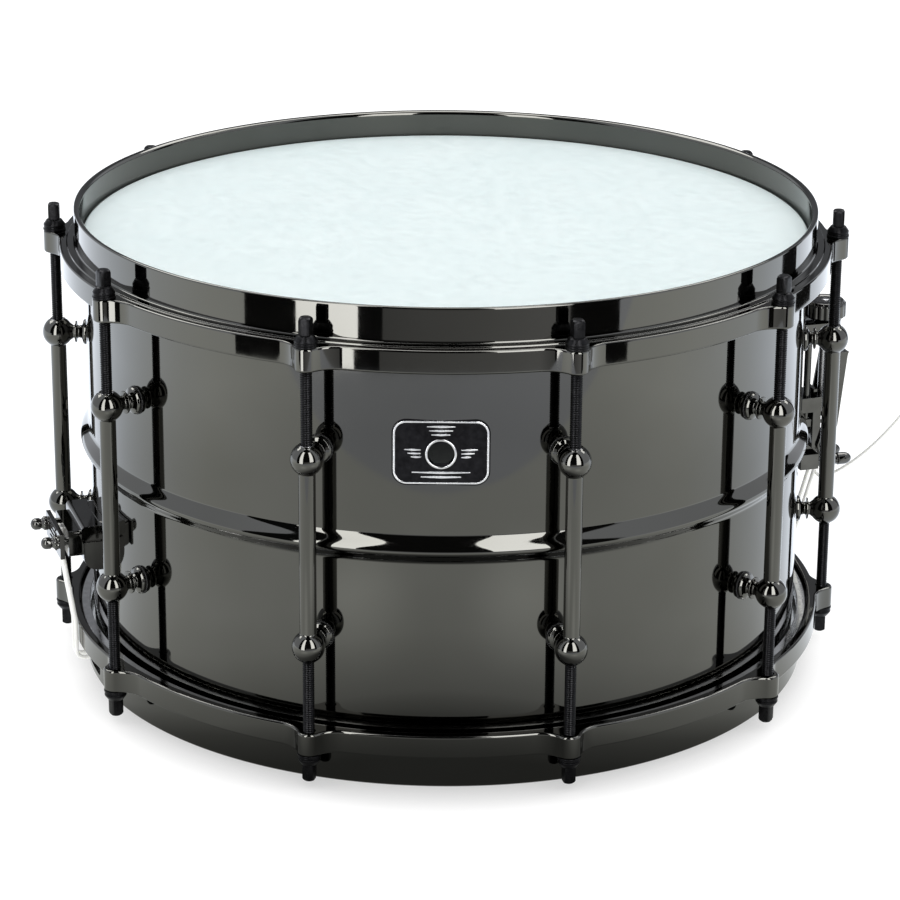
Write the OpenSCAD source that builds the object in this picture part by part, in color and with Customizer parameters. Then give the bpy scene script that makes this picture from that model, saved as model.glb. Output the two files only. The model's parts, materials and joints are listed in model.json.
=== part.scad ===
/* [Drum] */
// Overall height, from the resting rim to the playing rim
drum_h = 230; // [226:0.5:236]
// Shell depth between the two bearing edges
shell_depth = 203.2; // [203.2:0.1:203.4]
// Outer radius of the shell (a 14 inch shell)
shell_r = 176.7; // [176.6:0.05:176.75]
// Shell wall thickness
shell_wall = 1.2; // [1:0.1:1.4]
// Half height of the bead round the middle of the shell
bead_half_h = 7.2; // [5:0.2:8]
// How far the bead stands out of the shell
bead_rise = 4.2; // [2:0.2:4.4]

/* [Hoops] */
// Outer radius of the upright wall of a hoop
rim_r = 181; // [180.8:0.1:181.4]
// Inner radius of the upright wall of a hoop
rim_bore_r = 177.9; // [177.8:0.05:178.1]
// Outer radius of the lower skirt of a hoop
skirt_r = 188.3; // [187.8:0.1:188.8]
// Radius of a rod ear round its rod
ear_r = 5.4; // [5:0.1:6]
// Radius of the fillet that blends an ear into the skirt
ear_fillet_r = 14; // [6:0.5:18]

/* [Lugs and rods] */
// Number of lugs
lug_count = 10; // [8:2:10]
// Radius of the circle that the tension rods stand on
rod_circle_r = 192; // [191.8:0.1:192.2]
// Height of a lug ball above or below the middle of the drum
lug_ball_offset = 45; // [40:1:50]
// Radius of a lug ball
lug_ball_r = 7.6; // [7:0.1:8]
// Radius of a lug tube
lug_tube_r = 3.9; // [3.9:0.1:4.4]
// Radius of a tension rod shank
rod_r = 2.75; // [2.6:0.05:2.8]
// Width across the flats of a rod's square head
rod_key_w = 5.4; // [5:0.1:6.4]

/* [Strainer and butt] */
// Place of the strainer, in lug steps counter-clockwise from the badge seen from above
strainer_step = 3; // [2:1:4]
// Radius of the tension knob
knob_r = 10.9; // [9:0.1:11.2]
// Number of flutes round the tension knob
knob_flutes = 20; // [12:1:24]
// Radius that the tension screw stands at
tension_screw_x = 204.5; // [204:0.1:205]
// Height of the lever's tip above the middle of the drum
lever_tip = 20; // [14:1:21]
// Half the outer width of the lever
lever_half_w = 10.8; // [10.6:0.1:11.2]

/* [Snares] */
// Number of snare strands
strand_count = 20; // [12:1:24]
// Distance between neighbouring strands
strand_pitch = 2.1; // [2:0.05:2.2]
// Length of a snare strand
strand_length = 316; // [300:2:320]
// Thickness of a snare cord
cord_w = 2.2; // [1.6:0.1:2.4]

/* [Hidden] */
$fn = 96;

metal = "#3a3a3d";
metal_dark = "#1c1c1f";
steel = "#b9babd";
zinc_pale = "#d6d8dc";
nylon_white = "#eef0ec";
film_white = "#e6f2f3";

eps = 0.02;                       // gap between two fixed pieces that touch
mid = drum_h / 2;                 // height of the middle plane of the drum
edge = shell_depth / 2;           // bearing edge, from the middle
rim = drum_h / 2;                 // rim face, from the middle
lug_step = 360 / lug_count;
strainer_angle = lug_step * strainer_step;
butt_angle = strainer_angle - 180;

// Heights in a hoop, all from the middle of the drum
shoulder_t = 97.6;                // top face of the ears and skirt
skirt_t = 86.5;                   // open edge of the skirt
seat_t = 95.3;                    // underside that presses on the head's ring
ring_low_t = 88.9;                // lower face of the head's ring
film_h = 0.35;                    // thickness of a head film

// Heights on a rod, all from the middle of the drum
washer_h = 0.95;
collar_t = shoulder_t + 2 * washer_h + 4 * eps + 0.05;
key_t = 102.7;
rod_top_t = 111;
rod_tip_t = 38;
nut_low_t = 40.5;
nut_bore_r = rod_r + 0.05;
nut_r = 3.4;
nut_h = 11;

// Radial places of the fittings, from the drum's axis
pad_x = shell_r + 0.05;           // inner face of every gasket
seat_x = shell_r + 0.45;          // face where fittings meet their gaskets
fitting_screw_r = 2;
clearance_r = 2.3;                // screw holes in the shell and gaskets
vent_z = 46.2;
vent_hole_r = 6.35;
badge_z = 46.5;
badge_w = 44;
badge_h = 31;
badge_corner = 6.6;
badge_t = 0.6;

// Strainer, in its own upright plane: x is radial, z is from the middle of the drum
guide_x = 194;
guide_y = 5.2;
guide_r = 1.8;
pivot = [203, -30];
crank = [204.5, -25.5];
pivot_r = 1.6;
crank_r = 1.2;
tension_screw_r = 2;
shelf_z = 31;
shelf_h = 4.5;
clamp_gap = cord_w + 0.1;
clamp_x = 200;                    // outer face of the strainer's clamp block
clamp_screw_z = -39.5;
clamp_screw_y = 7;
butt_x = 194.8;                   // outer face of the butt's clamp block
butt_screw_z = -38;
butt_screw_y = 13.5;
cord_y = 3;
cord_x = 190.2;                   // where a cord runs down outside the skirt
cord_turn_r = 4;
cord_t = 104.2;                   // where a cord runs inwards through its gate
bracket_screw_z = [28, -36];
butt_bracket_screw_z = [-33.5, -48.5];
hole_reach = 12;                  // how far a hole cutter reaches either side of the shell

// ---- placing ----

// Children are drawn with +X pointing outwards from the drum's axis, at a bearing
module at_bearing(angle) { rotate([0, 0, angle - 90]) children(); }

// Children are drawn from the middle plane, for the playing side (1) or the resting side (-1)
module on_side(side) {
    translate([0, 0, mid]) mirror([0, 0, side > 0 ? 0 : 1]) children();
}

function lug_bearing(i) = lug_step * (i - 0.5);

module at_lugs() { for (i = [1 : lug_count]) at_bearing(lug_bearing(i)) children(); }

// A cylinder along the local X axis, from x1 to x2 at height z and offset y
module rod_x(x1, x2, r, y = 0, z = 0) {
    translate([x1, y, z]) rotate([0, 90, 0]) cylinder(h = x2 - x1, r = r);
}

// A cylinder along the local Y axis, centred, at [x, z]
module rod_y(at, length, r) {
    translate([at[0], length / 2, at[1]]) rotate([90, 0, 0]) cylinder(h = length, r = r);
}

// A flat plate in the local XZ plane, from y1 to y2
module plate_xz(points, y1, y2) {
    translate([0, y2, 0]) rotate([90, 0, 0]) linear_extrude(y2 - y1) polygon(points);
}

// A block given by its corners
module block(low, high) { translate(low) cube(high - low); }

// Points on an arc
function arc(c, r, a1, a2, n = 6) =
    [for (i = [0 : n]) c + r * [cos(a1 + (a2 - a1) * i / n), sin(a1 + (a2 - a1) * i / n)]];

function reversed(p) = [for (i = [len(p) - 1 : -1 : 0]) p[i]];

// A rectangle w by h with rounded corners, centred; the lower corners may differ
module rounded(w, h, r, low_r = 0) {
    q = low_r > 0 ? low_r : r;
    polygon(concat(
        arc([w / 2 - r, h / 2 - r], r, 0, 90),
        arc([r - w / 2, h / 2 - r], r, 90, 180),
        arc([q - w / 2, q - h / 2], q, 180, 270),
        arc([w / 2 - q, q - h / 2], q, 270, 360)));
}

// The part of a tube round the drum's axis that lies inside an outline seen from outside
module curved_plate(r1, r2) {
    intersection() {
        rotate([90, 0, 90]) linear_extrude(r2 + 10) children();
        difference() {
            cylinder(h = drum_h, r = r2, center = true);
            cylinder(h = drum_h + 2, r = r1, center = true);
        }
    }
}

// ---- shell ----

function bead(t) = abs(t) > bead_half_h ? 0 : bead_rise * (1 + cos(180 * t / bead_half_h)) / 2;

bead_steps = 24;
bead_heights = [for (i = [-bead_steps : bead_steps]) bead_half_h * i / bead_steps];

edge_roll_r = 1.4;
edge_roll_at = [shell_r - edge_roll_r, edge - edge_roll_r];

// The bearing edge rolls over the outer corner and turns inwards as a short flange
function edge_outside() = concat(
    arc(edge_roll_at, edge_roll_r, 0, 90),
    [[shell_r - 2.2, edge - 0.25], [shell_r - 5.7, edge - 3.6]]);

function edge_inside() =
    [[shell_r - 4.85, edge - 4.45], [shell_r - 2.1, edge - 1.8], [shell_r - shell_wall, edge - 2.6]];

function flipped(p) = [for (q = reversed(p)) [q[0], -q[1]]];

module shell_profile() {
    polygon(concat(
        [for (t = bead_heights) [shell_r + bead(t), t]],
        edge_outside(),
        edge_inside(),
        [for (t = reversed(bead_heights)) [shell_r - shell_wall + bead(t), t]],
        flipped(edge_inside()),
        flipped(edge_outside())));
}

module fitting_holes(r) {
    for (side = [-1, 1]) at_lugs()
        rod_x(shell_r - hole_reach, shell_r + hole_reach, r, z = side * lug_ball_offset);
    for (z = bracket_screw_z)
        at_bearing(strainer_angle) rod_x(shell_r - hole_reach, shell_r + hole_reach, r, z = z);
    for (z = butt_bracket_screw_z)
        at_bearing(butt_angle) rod_x(shell_r - hole_reach, shell_r + hole_reach, r, z = z);
}

module shell() color(metal) translate([0, 0, mid]) difference() {
    rotate_extrude($fn = 180) shell_profile();
    fitting_holes(clearance_r);
    at_bearing(0) rod_x(shell_r - hole_reach, shell_r + hole_reach, vent_hole_r, z = vent_z);
}

module badge() color(metal_dark) translate([0, 0, mid]) at_bearing(0) difference() {
    curved_plate(pad_x, pad_x + badge_t)
        translate([0, badge_z]) rounded(badge_w, badge_h, badge_corner);
    rod_x(shell_r - hole_reach, shell_r + hole_reach, vent_hole_r, z = vent_z);
}

// An eyelet: flange outside the badge, sleeve through the shell, rolled lip inside
module vent_grommet() color(zinc_pale) translate([0, 0, mid]) at_bearing(0)
    translate([0, 0, vent_z]) rotate([0, 90, 0]) rotate_extrude() {
        bore = 6;
        sleeve = vent_hole_r - 0.05;
        face_x = pad_x + badge_t;
        polygon([
            [bore, shell_r - 2.6], [bore + 1, shell_r - 2.6], [bore + 1, shell_r - 1.7],
            [sleeve, shell_r - 1.7], [sleeve, face_x + 0.05], [bore + 1.1, face_x + 0.05],
            [bore + 1.1, face_x + 0.45], [bore + 0.7, face_x + 0.9],
            [sleeve, face_x + 0.9], [bore, face_x + 0.6]]);
    }

// ---- heads ----

film_gap = 0.05;                  // between the bearing edge and the film
film_over_edge = arc(edge_roll_at, edge_roll_r + film_gap, 90, 10);
film_outside = arc(edge_roll_at, edge_roll_r + film_gap + film_h, 90, 10);
film_tuck_r = shell_r + 2.85;
film_low_t = ring_low_t + 3.3;    // lower edge of the film's collar, inside the ring

module head_film(side) color(film_white) on_side(side) rotate_extrude($fn = 180)
    polygon(concat(
        [[0, edge + film_gap]],
        film_over_edge,
        [[film_tuck_r, seat_t + 0.1], [film_tuck_r, film_low_t],
         [film_tuck_r + film_h, film_low_t], [film_tuck_r + film_h, seat_t + 0.1]],
        reversed(film_outside),
        [[0, edge + film_gap + film_h]]));

// The ring has a narrow channel that holds the film's edge
module head_ring(side) color(zinc_pale) on_side(side) rotate_extrude($fn = 180) {
    inner = film_tuck_r - 0.6;
    slot_in = film_tuck_r - 0.05;
    slot_out = film_tuck_r + film_h + 0.05;
    outer = shell_r + 6.8;
    top = seat_t - eps;
    polygon([
        [inner + 0.5, ring_low_t], [outer - 0.8, ring_low_t], [outer, ring_low_t + 0.8],
        [outer, top - 0.6], [outer - 0.6, top], [slot_out, top],
        [slot_out, film_low_t - 0.1], [slot_in, film_low_t - 0.1], [slot_in, top],
        [inner, top], [inner, ring_low_t + 0.5]]);
}

// ---- hoops ----

skirt_bore_r = shell_r + 7.5;

function hoop_outline() = concat(
    [[rim_r - 0.9, rim], [rim_bore_r + 0.8, rim]],
    [[rim_bore_r + 0.3, rim - 0.5], [rim_bore_r + 0.3, rim - 4.2], [rim_bore_r, rim - 4.6]],
    [[rim_bore_r, edge - 0.6], [rim_bore_r + 2.4, seat_t], [skirt_bore_r, seat_t]],
    [[skirt_bore_r, skirt_t + 0.4], [skirt_bore_r + 0.4, skirt_t]],
    arc([skirt_r - 0.7, skirt_t + 0.7], 0.7, 270, 360, 3),
    arc([skirt_r - 1, shoulder_t - 1], 1, 0, 80, 4),
    [[rim_r + 3.8, shoulder_t + 0.1], [rim_r + 3.5, shoulder_t + 0.7]],
    [[rim_r + 0.9, shoulder_t + 0.9]],
    arc([rim_r + 0.9, shoulder_t + 1.8], 0.9, 270, 180, 3),
    arc([rim_r - 0.9, rim - 0.9], 0.9, 0, 90, 4));

// Where the two fillet circles of an ear sit, from the cosine rule
fillet_far = skirt_r + ear_fillet_r;
fillet_near = ear_r + ear_fillet_r;
fillet_a = acos((fillet_far * fillet_far + rod_circle_r * rod_circle_r
    - fillet_near * fillet_near) / (2 * fillet_far * rod_circle_r));
fillet_c = fillet_far * [cos(fillet_a), sin(fillet_a)];
ear_touch_a = atan2(fillet_c[1], fillet_c[0] - rod_circle_r);

function ear_half() = concat(
    arc([rod_circle_r, 0], ear_r, 0, ear_touch_a, 10),
    arc(fillet_c, ear_fillet_r, 180 + ear_touch_a, 180 + fillet_a, 8));

module ear() {
    half = ear_half();
    polygon(concat([[skirt_bore_r + 1, 0]], [for (p = reversed(half)) [p[0], -p[1]]], half,
        [[skirt_bore_r + 1, (skirt_bore_r + 1) * sin(fillet_a)]]));
}

module hoop() {
    ear_low_t = skirt_t + 0.3;
    difference() {
        union() {
            rotate_extrude($fn = 180) polygon(hoop_outline());
            at_lugs() translate([0, 0, ear_low_t]) linear_extrude(shoulder_t - ear_low_t) ear();
        }
        at_lugs() translate([rod_circle_r, 0, skirt_t - 1])
            cylinder(h = rim - skirt_t, r = rod_r + 0.4);
    }
}

module batter_hoop() color(metal) on_side(1) hoop();

gate_half_w = 12;
gate_t = [rim - 14.4, rim - 3.4]; // lower and upper edge of a gate

// The resting hoop has a gate in its wall under the strainer and another under the butt
module snare_hoop() color(metal) on_side(-1) difference() {
    hoop();
    for (angle = [strainer_angle, butt_angle]) at_bearing(angle)
        block([shell_r - 4, -gate_half_w, gate_t[0]], [shell_r + 8, gate_half_w, gate_t[1]]);
}

// ---- lugs ----

module lug_tubes() color(metal) translate([0, 0, mid]) at_lugs()
    translate([rod_circle_r, 0, 0]) difference() {
        union() {
            for (side = [-1, 1]) translate([0, 0, side * lug_ball_offset]) sphere(r = lug_ball_r);
            cylinder(h = 2 * lug_ball_offset, r = lug_tube_r, center = true);
        }
        cylinder(h = 3 * lug_ball_offset, r = rod_r + 0.3, center = true);
        for (side = [-1, 1]) translate([0, 0, side * (nut_low_t + nut_h)])
            cylinder(h = 2 * nut_h, r = nut_r + eps, center = true);
    }

// Threaded sleeves in the two ends of each lug
module lug_nuts() color(steel) translate([0, 0, mid]) at_lugs()
    for (side = [-1, 1]) translate([rod_circle_r, 0, side * (nut_low_t + nut_h / 2 + 0.1)])
        difference() {
            cylinder(h = nut_h, r = nut_r, center = true);
            cylinder(h = nut_h + 1, r = nut_bore_r, center = true);
        }

// A turned post: flange, neck, ring and a cone that ends on the ball
module lug_post() difference() {
    flange_r = 6.5;
    ring_r = 5.4;
    neck_r = 3;
    length = 9.6;
    translate([seat_x, 0, 0]) rotate([0, 90, 0]) rotate_extrude() polygon([
        [0, 0], [flange_r, 0], [flange_r, 1.3], [flange_r - 0.6, 2.1],
        [neck_r + 0.5, 3], [neck_r, 4.4], [neck_r + 0.4, 5.1], [ring_r, 5.3],
        [ring_r, 6.1], [neck_r + 0.4, 6.4], [neck_r + 0.2, 7], [neck_r + 1.4, length],
        [0, length]]);
    translate([rod_circle_r, 0, 0]) sphere(r = lug_ball_r + eps);
    rod_x(seat_x - 1, seat_x + 6, fitting_screw_r + eps);
}

module lug_posts() color(metal) translate([0, 0, mid]) at_lugs()
    for (side = [-1, 1]) translate([0, 0, side * lug_ball_offset]) lug_post();

gasket_r = 6.8;

module lug_gaskets() color(metal_dark) translate([0, 0, mid]) at_lugs()
    for (side = [-1, 1]) translate([pad_x, 0, side * lug_ball_offset]) rotate([0, 90, 0])
        difference() {
            cylinder(h = seat_x - pad_x - eps, r = gasket_r);
            translate([0, 0, -1]) cylinder(h = 3, r = clearance_r);
        }

// A pan-head screw from inside the shell, pointing outwards
module inside_screw(tip_x) {
    head_x = shell_r - shell_wall - 1.2;
    head_r = 3.9;
    rotate([0, 90, 0]) rotate_extrude() polygon([
        [0, head_x - 2.6], [head_r - 1.3, head_x - 2.5], [head_r - 0.2, head_x - 1.7],
        [head_r, head_x],
        [fitting_screw_r, head_x], [fitting_screw_r, tip_x - 0.6],
        [fitting_screw_r - 0.6, tip_x], [0, tip_x]]);
}

module lug_screws() color(steel) translate([0, 0, mid]) at_lugs()
    for (side = [-1, 1]) translate([0, 0, side * lug_ball_offset])
        inside_screw(seat_x + 5.5);

module inner_washer() {
    low_x = shell_r - shell_wall - washer_h - 0.2;
    washer_r = 5;
    translate([low_x, 0, 0]) rotate([0, 90, 0]) difference() {
        cylinder(h = washer_h, r = washer_r);
        translate([0, 0, -1]) cylinder(h = washer_h + 2, r = clearance_r);
    }
}

module inner_washers() color(steel) translate([0, 0, mid]) {
    for (side = [-1, 1]) at_lugs() translate([0, 0, side * lug_ball_offset]) inner_washer();
    for (z = bracket_screw_z) at_bearing(strainer_angle) translate([0, 0, z]) inner_washer();
    for (z = butt_bracket_screw_z) at_bearing(butt_angle) translate([0, 0, z]) inner_washer();
}

// ---- tension rods ----

rod_washer_r = [5.5, 5.2];

// A metal washer on a nylon one, on each ear
module rod_washers(side) color(metal_dark) on_side(side) at_lugs()
    translate([rod_circle_r, 0, shoulder_t + eps]) for (i = [0, 1])
        translate([0, 0, i * (washer_h + eps)]) difference() {
            cylinder(h = washer_h, r = rod_washer_r[i]);
            translate([0, 0, -1]) cylinder(h = washer_h + 2, r = rod_r + 0.3);
        }

collar_r = 5.3;
key_corner_r = 3.6;               // the corners of the square head are turned to this radius

// A square-headed rod with a coned collar; it turns in the sleeves of its lug
module tension_rod(side, i) color(metal_dark) on_side(side) at_bearing(lug_bearing(i))
    translate([rod_circle_r, 0, 0]) union() {
        rotate_extrude() polygon([
            [0, rod_tip_t], [rod_r - 0.5, rod_tip_t], [rod_r, rod_tip_t + 1],
            [rod_r, collar_t], [collar_r, collar_t], [collar_r, collar_t + 0.9],
            [key_corner_r + 0.2, key_t], [3, key_t + 0.2], [0, key_t + 0.2]]);
        intersection() {
            translate([0, 0, (key_t + rod_top_t) / 2])
                cube([rod_key_w, rod_key_w, rod_top_t - key_t], center = true);
            rotate_extrude() polygon([
                [0, key_t - 1], [key_corner_r, key_t - 1], [key_corner_r, rod_top_t - 1.6],
                [key_corner_r - 1.3, rod_top_t], [0, rod_top_t]]);
        }
    }

// ---- strainer ----

module in_strainer() { translate([0, 0, mid]) at_bearing(strainer_angle) children(); }

shelf_r = 8.5;
base_x = 183.4;                   // outer face of the strainer's back plate
base_half_w = 11;
base_top = 36;
base_low = -42;
bracket_top = -16;
bracket_half_w = 7.8;
gusset_y = [7.1, 8.5];            // clear of the guide pins, flush with the shelf's sides

// Back plate that bridges the bead, two feet, a top shelf for the screw and a lower bracket
module strainer_base() color(metal) in_strainer() difference() {
    union() {
        block([base_x - 2, -base_half_w, base_low], [base_x, base_half_w, base_top]);
        block([seat_x, -base_half_w, 16], [base_x - 1, base_half_w, base_top]);
        block([seat_x, -base_half_w, base_low], [base_x - 1, base_half_w, -14]);
        block([base_x - 1, -shelf_r, shelf_z], [tension_screw_x, shelf_r, shelf_z + shelf_h]);
        translate([tension_screw_x, 0, shelf_z]) cylinder(h = shelf_h, r = shelf_r);
        block([base_x - 1, -bracket_half_w, bracket_top - 4],
            [guide_x + 2.2, bracket_half_w, bracket_top]);
        for (y = [gusset_y, -reversed(gusset_y)]) plate_xz(
            [[base_x - 1, 14], [base_x - 1, shelf_z + 1], [197, shelf_z + 1]], y[0], y[1]);
    }
    translate([tension_screw_x, 0, shelf_z - 1])
        cylinder(h = shelf_h + 2, r = tension_screw_r + 0.06);
    for (y = [-guide_y, guide_y]) {
        translate([guide_x, y, shelf_z - 1]) cylinder(h = 4, r = guide_r + eps);
        translate([guide_x, y, bracket_top - 3]) cylinder(h = 4, r = guide_r + eps);
    }
    for (z = bracket_screw_z) rod_x(seat_x - 1, base_x - 1, fitting_screw_r + eps, z = z);
}

// Soft pads between the shell and the strainer's feet, and under the butt
module bracket_gaskets() color(metal_dark) {
    in_strainer() difference() {
        curved_plate(pad_x, seat_x - eps) {
            translate([-base_half_w, 16]) square([2 * base_half_w, base_top - 16]);
            translate([-base_half_w, base_low]) square([2 * base_half_w, -14 - base_low]);
        }
        for (z = bracket_screw_z) rod_x(shell_r - 2, shell_r + 5, clearance_r, z = z);
    }
    in_butt() difference() {
        curved_plate(pad_x, seat_x - eps) butt_outline();
        for (z = butt_bracket_screw_z) rod_x(shell_r - 2, shell_r + 5, clearance_r, z = z);
    }
}

module bracket_screws() color(steel) {
    in_strainer() for (z = bracket_screw_z) translate([0, 0, z]) inside_screw(seat_x + 4);
    in_butt() for (z = butt_bracket_screw_z) translate([0, 0, z]) inside_screw(seat_x + 4);
}

pin_seat = 2.9;                   // how deep a guide pin stands in each of its sockets

module strainer_guide_pins() color(steel) in_strainer() for (y = [-guide_y, guide_y])
    translate([guide_x, y, bracket_top - pin_seat])
        cylinder(h = shelf_z - bracket_top + 2 * pin_seat, r = guide_r);

carriage_half_w = 9;
carriage_top = -4;
carriage_low = -12;
carriage_cut_h = carriage_top - carriage_low + 2;
arm_w = 2;
stem_x = [198.4, 200.4];          // inner and outer face of the slider's stem
stem_half_w = 4.5;

// A block on the guide pins, with a threaded bore for the screw, a window for the
// slider's stem and two arms that hold the lever's pivot
module strainer_carriage() color(metal) in_strainer() difference() {
    union() {
        block([190, -carriage_half_w, carriage_low], [207.5, carriage_half_w, carriage_top]);
        for (y = [-carriage_half_w, carriage_half_w - arm_w]) {
            block([196.5, y, -31.5], [201, y + arm_w, carriage_low + 1]);
            translate([pivot[0], y + arm_w, pivot[1]]) rotate([90, 0, 0])
                cylinder(h = arm_w, r = 3.2);
            plate_xz([[199, -32.2], [203, -33.2], [203, -26.8], [199, -26]], y, y + arm_w);
        }
    }
    translate([0, 0, carriage_low - 1]) {
        for (y = [-guide_y, guide_y]) translate([guide_x, y, 0])
            cylinder(h = carriage_cut_h, r = guide_r + 0.05);
        translate([tension_screw_x, 0, 0])
            cylinder(h = carriage_cut_h, r = tension_screw_r + 0.05);
        block([stem_x[0] - 0.15, -stem_half_w - 0.15, 0],
            [stem_x[1] + 0.15, stem_half_w + 0.15, carriage_cut_h]);
    }
    rod_y(pivot, 30, pivot_r + eps);
}

lever_low = -20;                  // where the lever's face starts
lever_tip_x = 213.8;
lever_low_x = 209.7;
lever_flange_w = 1.6;

// Two side flanges on the pivot, joined by a face that ends in a small lip
module strainer_lever() color(metal) in_strainer() difference() {
    union() {
        for (side = [-1, 1]) {
            y = side > 0 ? lever_half_w - lever_flange_w : -lever_half_w;
            plate_xz(concat(
                arc(pivot, 4, 150, 330, 14),
                [[lever_low_x - 0.4, lever_low], [lever_tip_x - 0.4, lever_tip]],
                [[lever_tip_x - 4.6, lever_tip], [lever_tip_x - 6.4, lever_tip - 3]],
                [[201.6, -21]]), y, y + lever_flange_w);
        }
        plate_xz([[lever_low_x - 1.7, lever_low], [lever_low_x, lever_low],
            [lever_tip_x, lever_tip - 1.5], [lever_tip_x + 0.6, lever_tip],
            [lever_tip_x - 0.4, lever_tip + 0.6], [lever_tip_x - 1.8, lever_tip - 0.4]],
            -lever_half_w, lever_half_w);
    }
    rod_y(pivot, 30, pivot_r + 0.06);
    rod_y(crank, 30, crank_r + eps);
}

module lever_pivot_pin() color(steel) in_strainer() union() {
    rod_y(pivot, 2 * lever_half_w + 0.6, pivot_r);
    for (side = [-1, 1]) translate([0, side * (lever_half_w + 0.7), 0]) rod_y(pivot, 1.2, 2.6);
}

module lever_crank_pin() color(steel) in_strainer() rod_y(crank, 2 * lever_half_w + 0.4, crank_r);

hook_half = crank_r + 0.68;       // half the height of the slot that the crank pin runs in
cheek_y = 5.4;                    // inner face of a cheek
cheek_w = 1.2;

// The block that carries the cords: a stem through the carriage and two hooked cheeks
// that the lever's crank pin pushes down and pulls up
module strainer_slider() color(metal) in_strainer() difference() {
    union() {
        block([190, -base_half_w, -42.5], [clamp_x, base_half_w, -34.3]);
        block([stem_x[0], -stem_half_w, -34.6], [stem_x[1], stem_half_w, -1]);
        for (y = [-cheek_y - cheek_w, cheek_y]) plate_xz([
            [194, -35], [194, -33], [197, -28], [197, -21.9], [210.1, -21.9],
            [210.1, crank[1] - hook_half - 1.2], [205.4, crank[1] - hook_half - 1.2],
            [205.4, crank[1] - hook_half], [209.1, crank[1] - hook_half],
            [209.1, crank[1] + hook_half], [205.2, crank[1] + hook_half],
            [205.2, -23], [200.9, -23], [200.9, -33], [200, -35]], y, y + cheek_w);
    }
    for (y = [-clamp_screw_y, clamp_screw_y])
        rod_x(192, clamp_x + 1, fitting_screw_r + 0.05, y = y, z = clamp_screw_z);
}

// A ribbed plate with its inner face at x
module clamp_plate(x, half_w, low, high, thick, ribs, rib_half_w) {
    rib_step = (high - low) / ribs;
    block([x, -half_w, low], [x + thick, half_w, high]);
    for (i = [0 : ribs - 1]) block([x + thick / 2, -rib_half_w, low + (i + 0.3) * rib_step],
        [x + thick + 0.5, rib_half_w, low + (i + 0.75) * rib_step]);
}

module strainer_clamp_plate() color(metal) in_strainer() difference() {
    clamp_plate(clamp_x + clamp_gap, 10.5, -43, -35.2, 2, 4, 10.5);
    for (y = [-clamp_screw_y, clamp_screw_y])
        rod_x(clamp_x, clamp_x + 10, fitting_screw_r + 0.3, y = y, z = clamp_screw_z);
}

// A thumb screw: shank, knurled ring, waist and domed end, pointing outwards
module thumb_screw(tip_x, seat, length, head_r) {
    end = seat + length;
    rotate([0, 90, 0]) difference() {
        rotate_extrude() polygon(concat(
            [[0, tip_x], [fitting_screw_r - 0.5, tip_x], [fitting_screw_r, tip_x + 0.6],
             [fitting_screw_r, seat], [head_r + 0.5, seat], [head_r + 0.5, seat + length * 0.27],
             [head_r - 0.5, seat + length * 0.34], [head_r - 0.5, seat + length * 0.45],
             [head_r, seat + length * 0.48]],
            [for (p = arc([0, 0], 1, 0, 90, 8)) [p[0] * head_r, end - length * 0.3 * (1 - p[1])]]));
        for (i = [0 : 17]) rotate([0, 0, 20 * i]) translate([head_r + 0.75, 0, seat - 1])
            cylinder(h = length * 0.27 + 1.5, r = 0.45);
    }
}

module strainer_clamp_screw(side) color(metal) in_strainer()
    translate([0, side * clamp_screw_y, clamp_screw_z])
        thumb_screw(192.5, clamp_x + clamp_gap + 2.6, 15, 3.2);

knob_low = shelf_z + shelf_h + 0.6;
knob_h = 10.2;
flute_r = 0.85;

module tension_knob() color(metal) in_strainer() translate([tension_screw_x, 0, knob_low])
    difference() {
        rotate_extrude() polygon(concat(
            [[tension_screw_r + eps, 0], [4.5, 0], [5, 0.5], [knob_r - 1.2, 0.9], [knob_r, 2]],
            arc([knob_r - 2.2, knob_h - 2.2], 2.2, 0, 70, 5),
            [[knob_r - 5, knob_h - 0.1], [tension_screw_r + eps, knob_h]]));
        for (i = [0 : knob_flutes - 1]) rotate([0, 0, 360 / knob_flutes * i])
            translate([knob_r + 0.35, 0, -1]) cylinder(h = knob_h + 2, r = flute_r);
    }

tension_screw_low = -13.5;

module tension_screw() color(steel) in_strainer() translate([tension_screw_x, 0, 0])
    rotate_extrude() polygon([
        [0, tension_screw_low], [tension_screw_r - 0.5, tension_screw_low],
        [tension_screw_r, tension_screw_low + 0.5],
        [tension_screw_r, knob_low + knob_h - 0.4], [tension_screw_r - 0.5, knob_low + knob_h],
        [0, knob_low + knob_h]]);

// ---- butt ----

module in_butt() { translate([0, 0, mid]) at_bearing(butt_angle) children(); }

butt_w = 36;
butt_top = -29;
butt_low = -54;

module butt_outline() translate([0, (butt_top + butt_low) / 2])
    rounded(butt_w, butt_top - butt_low, 4, 15);

butt_plate_t = 2.6;
butt_sink = 1.5;                  // how deep the raised parts start inside that plate
butt_head_low = -36.5;
butt_head_top = -29.5;
butt_head_w = 38.5;
butt_head_x = 189;
butt_bowl_top = -38;
butt_bowl_low = -52.5;
butt_bowl_w = 37;
butt_bowl_x = 188;
butt_clamp_w = 33;
butt_clamp_h = 13;
butt_head_r = [1, 2];             // rounding under and over the butt's head
butt_bowl_r = [7, 1];

// A part of the butt from low to high whose outer edges are rounded when seen from the side
module butt_lump(low, high, w, outer_x, r) {
    inner_x = seat_x + butt_sink;
    plate_xz(concat([[inner_x, low]],
        arc([outer_x - r[0], low + r[0]], r[0], 270, 360),
        arc([outer_x - r[1], high - r[1]], r[1], 0, 90),
        [[inner_x, high]]), -w / 2, w / 2);
}

// The block with rounded corners that the cords are pressed against
module butt_clamp_block() translate([seat_x + butt_sink, 0, butt_screw_z - 1])
    rotate([90, 0, 90]) linear_extrude(butt_x - seat_x - butt_sink)
        rounded(butt_clamp_w, butt_clamp_h, 2);

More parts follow.
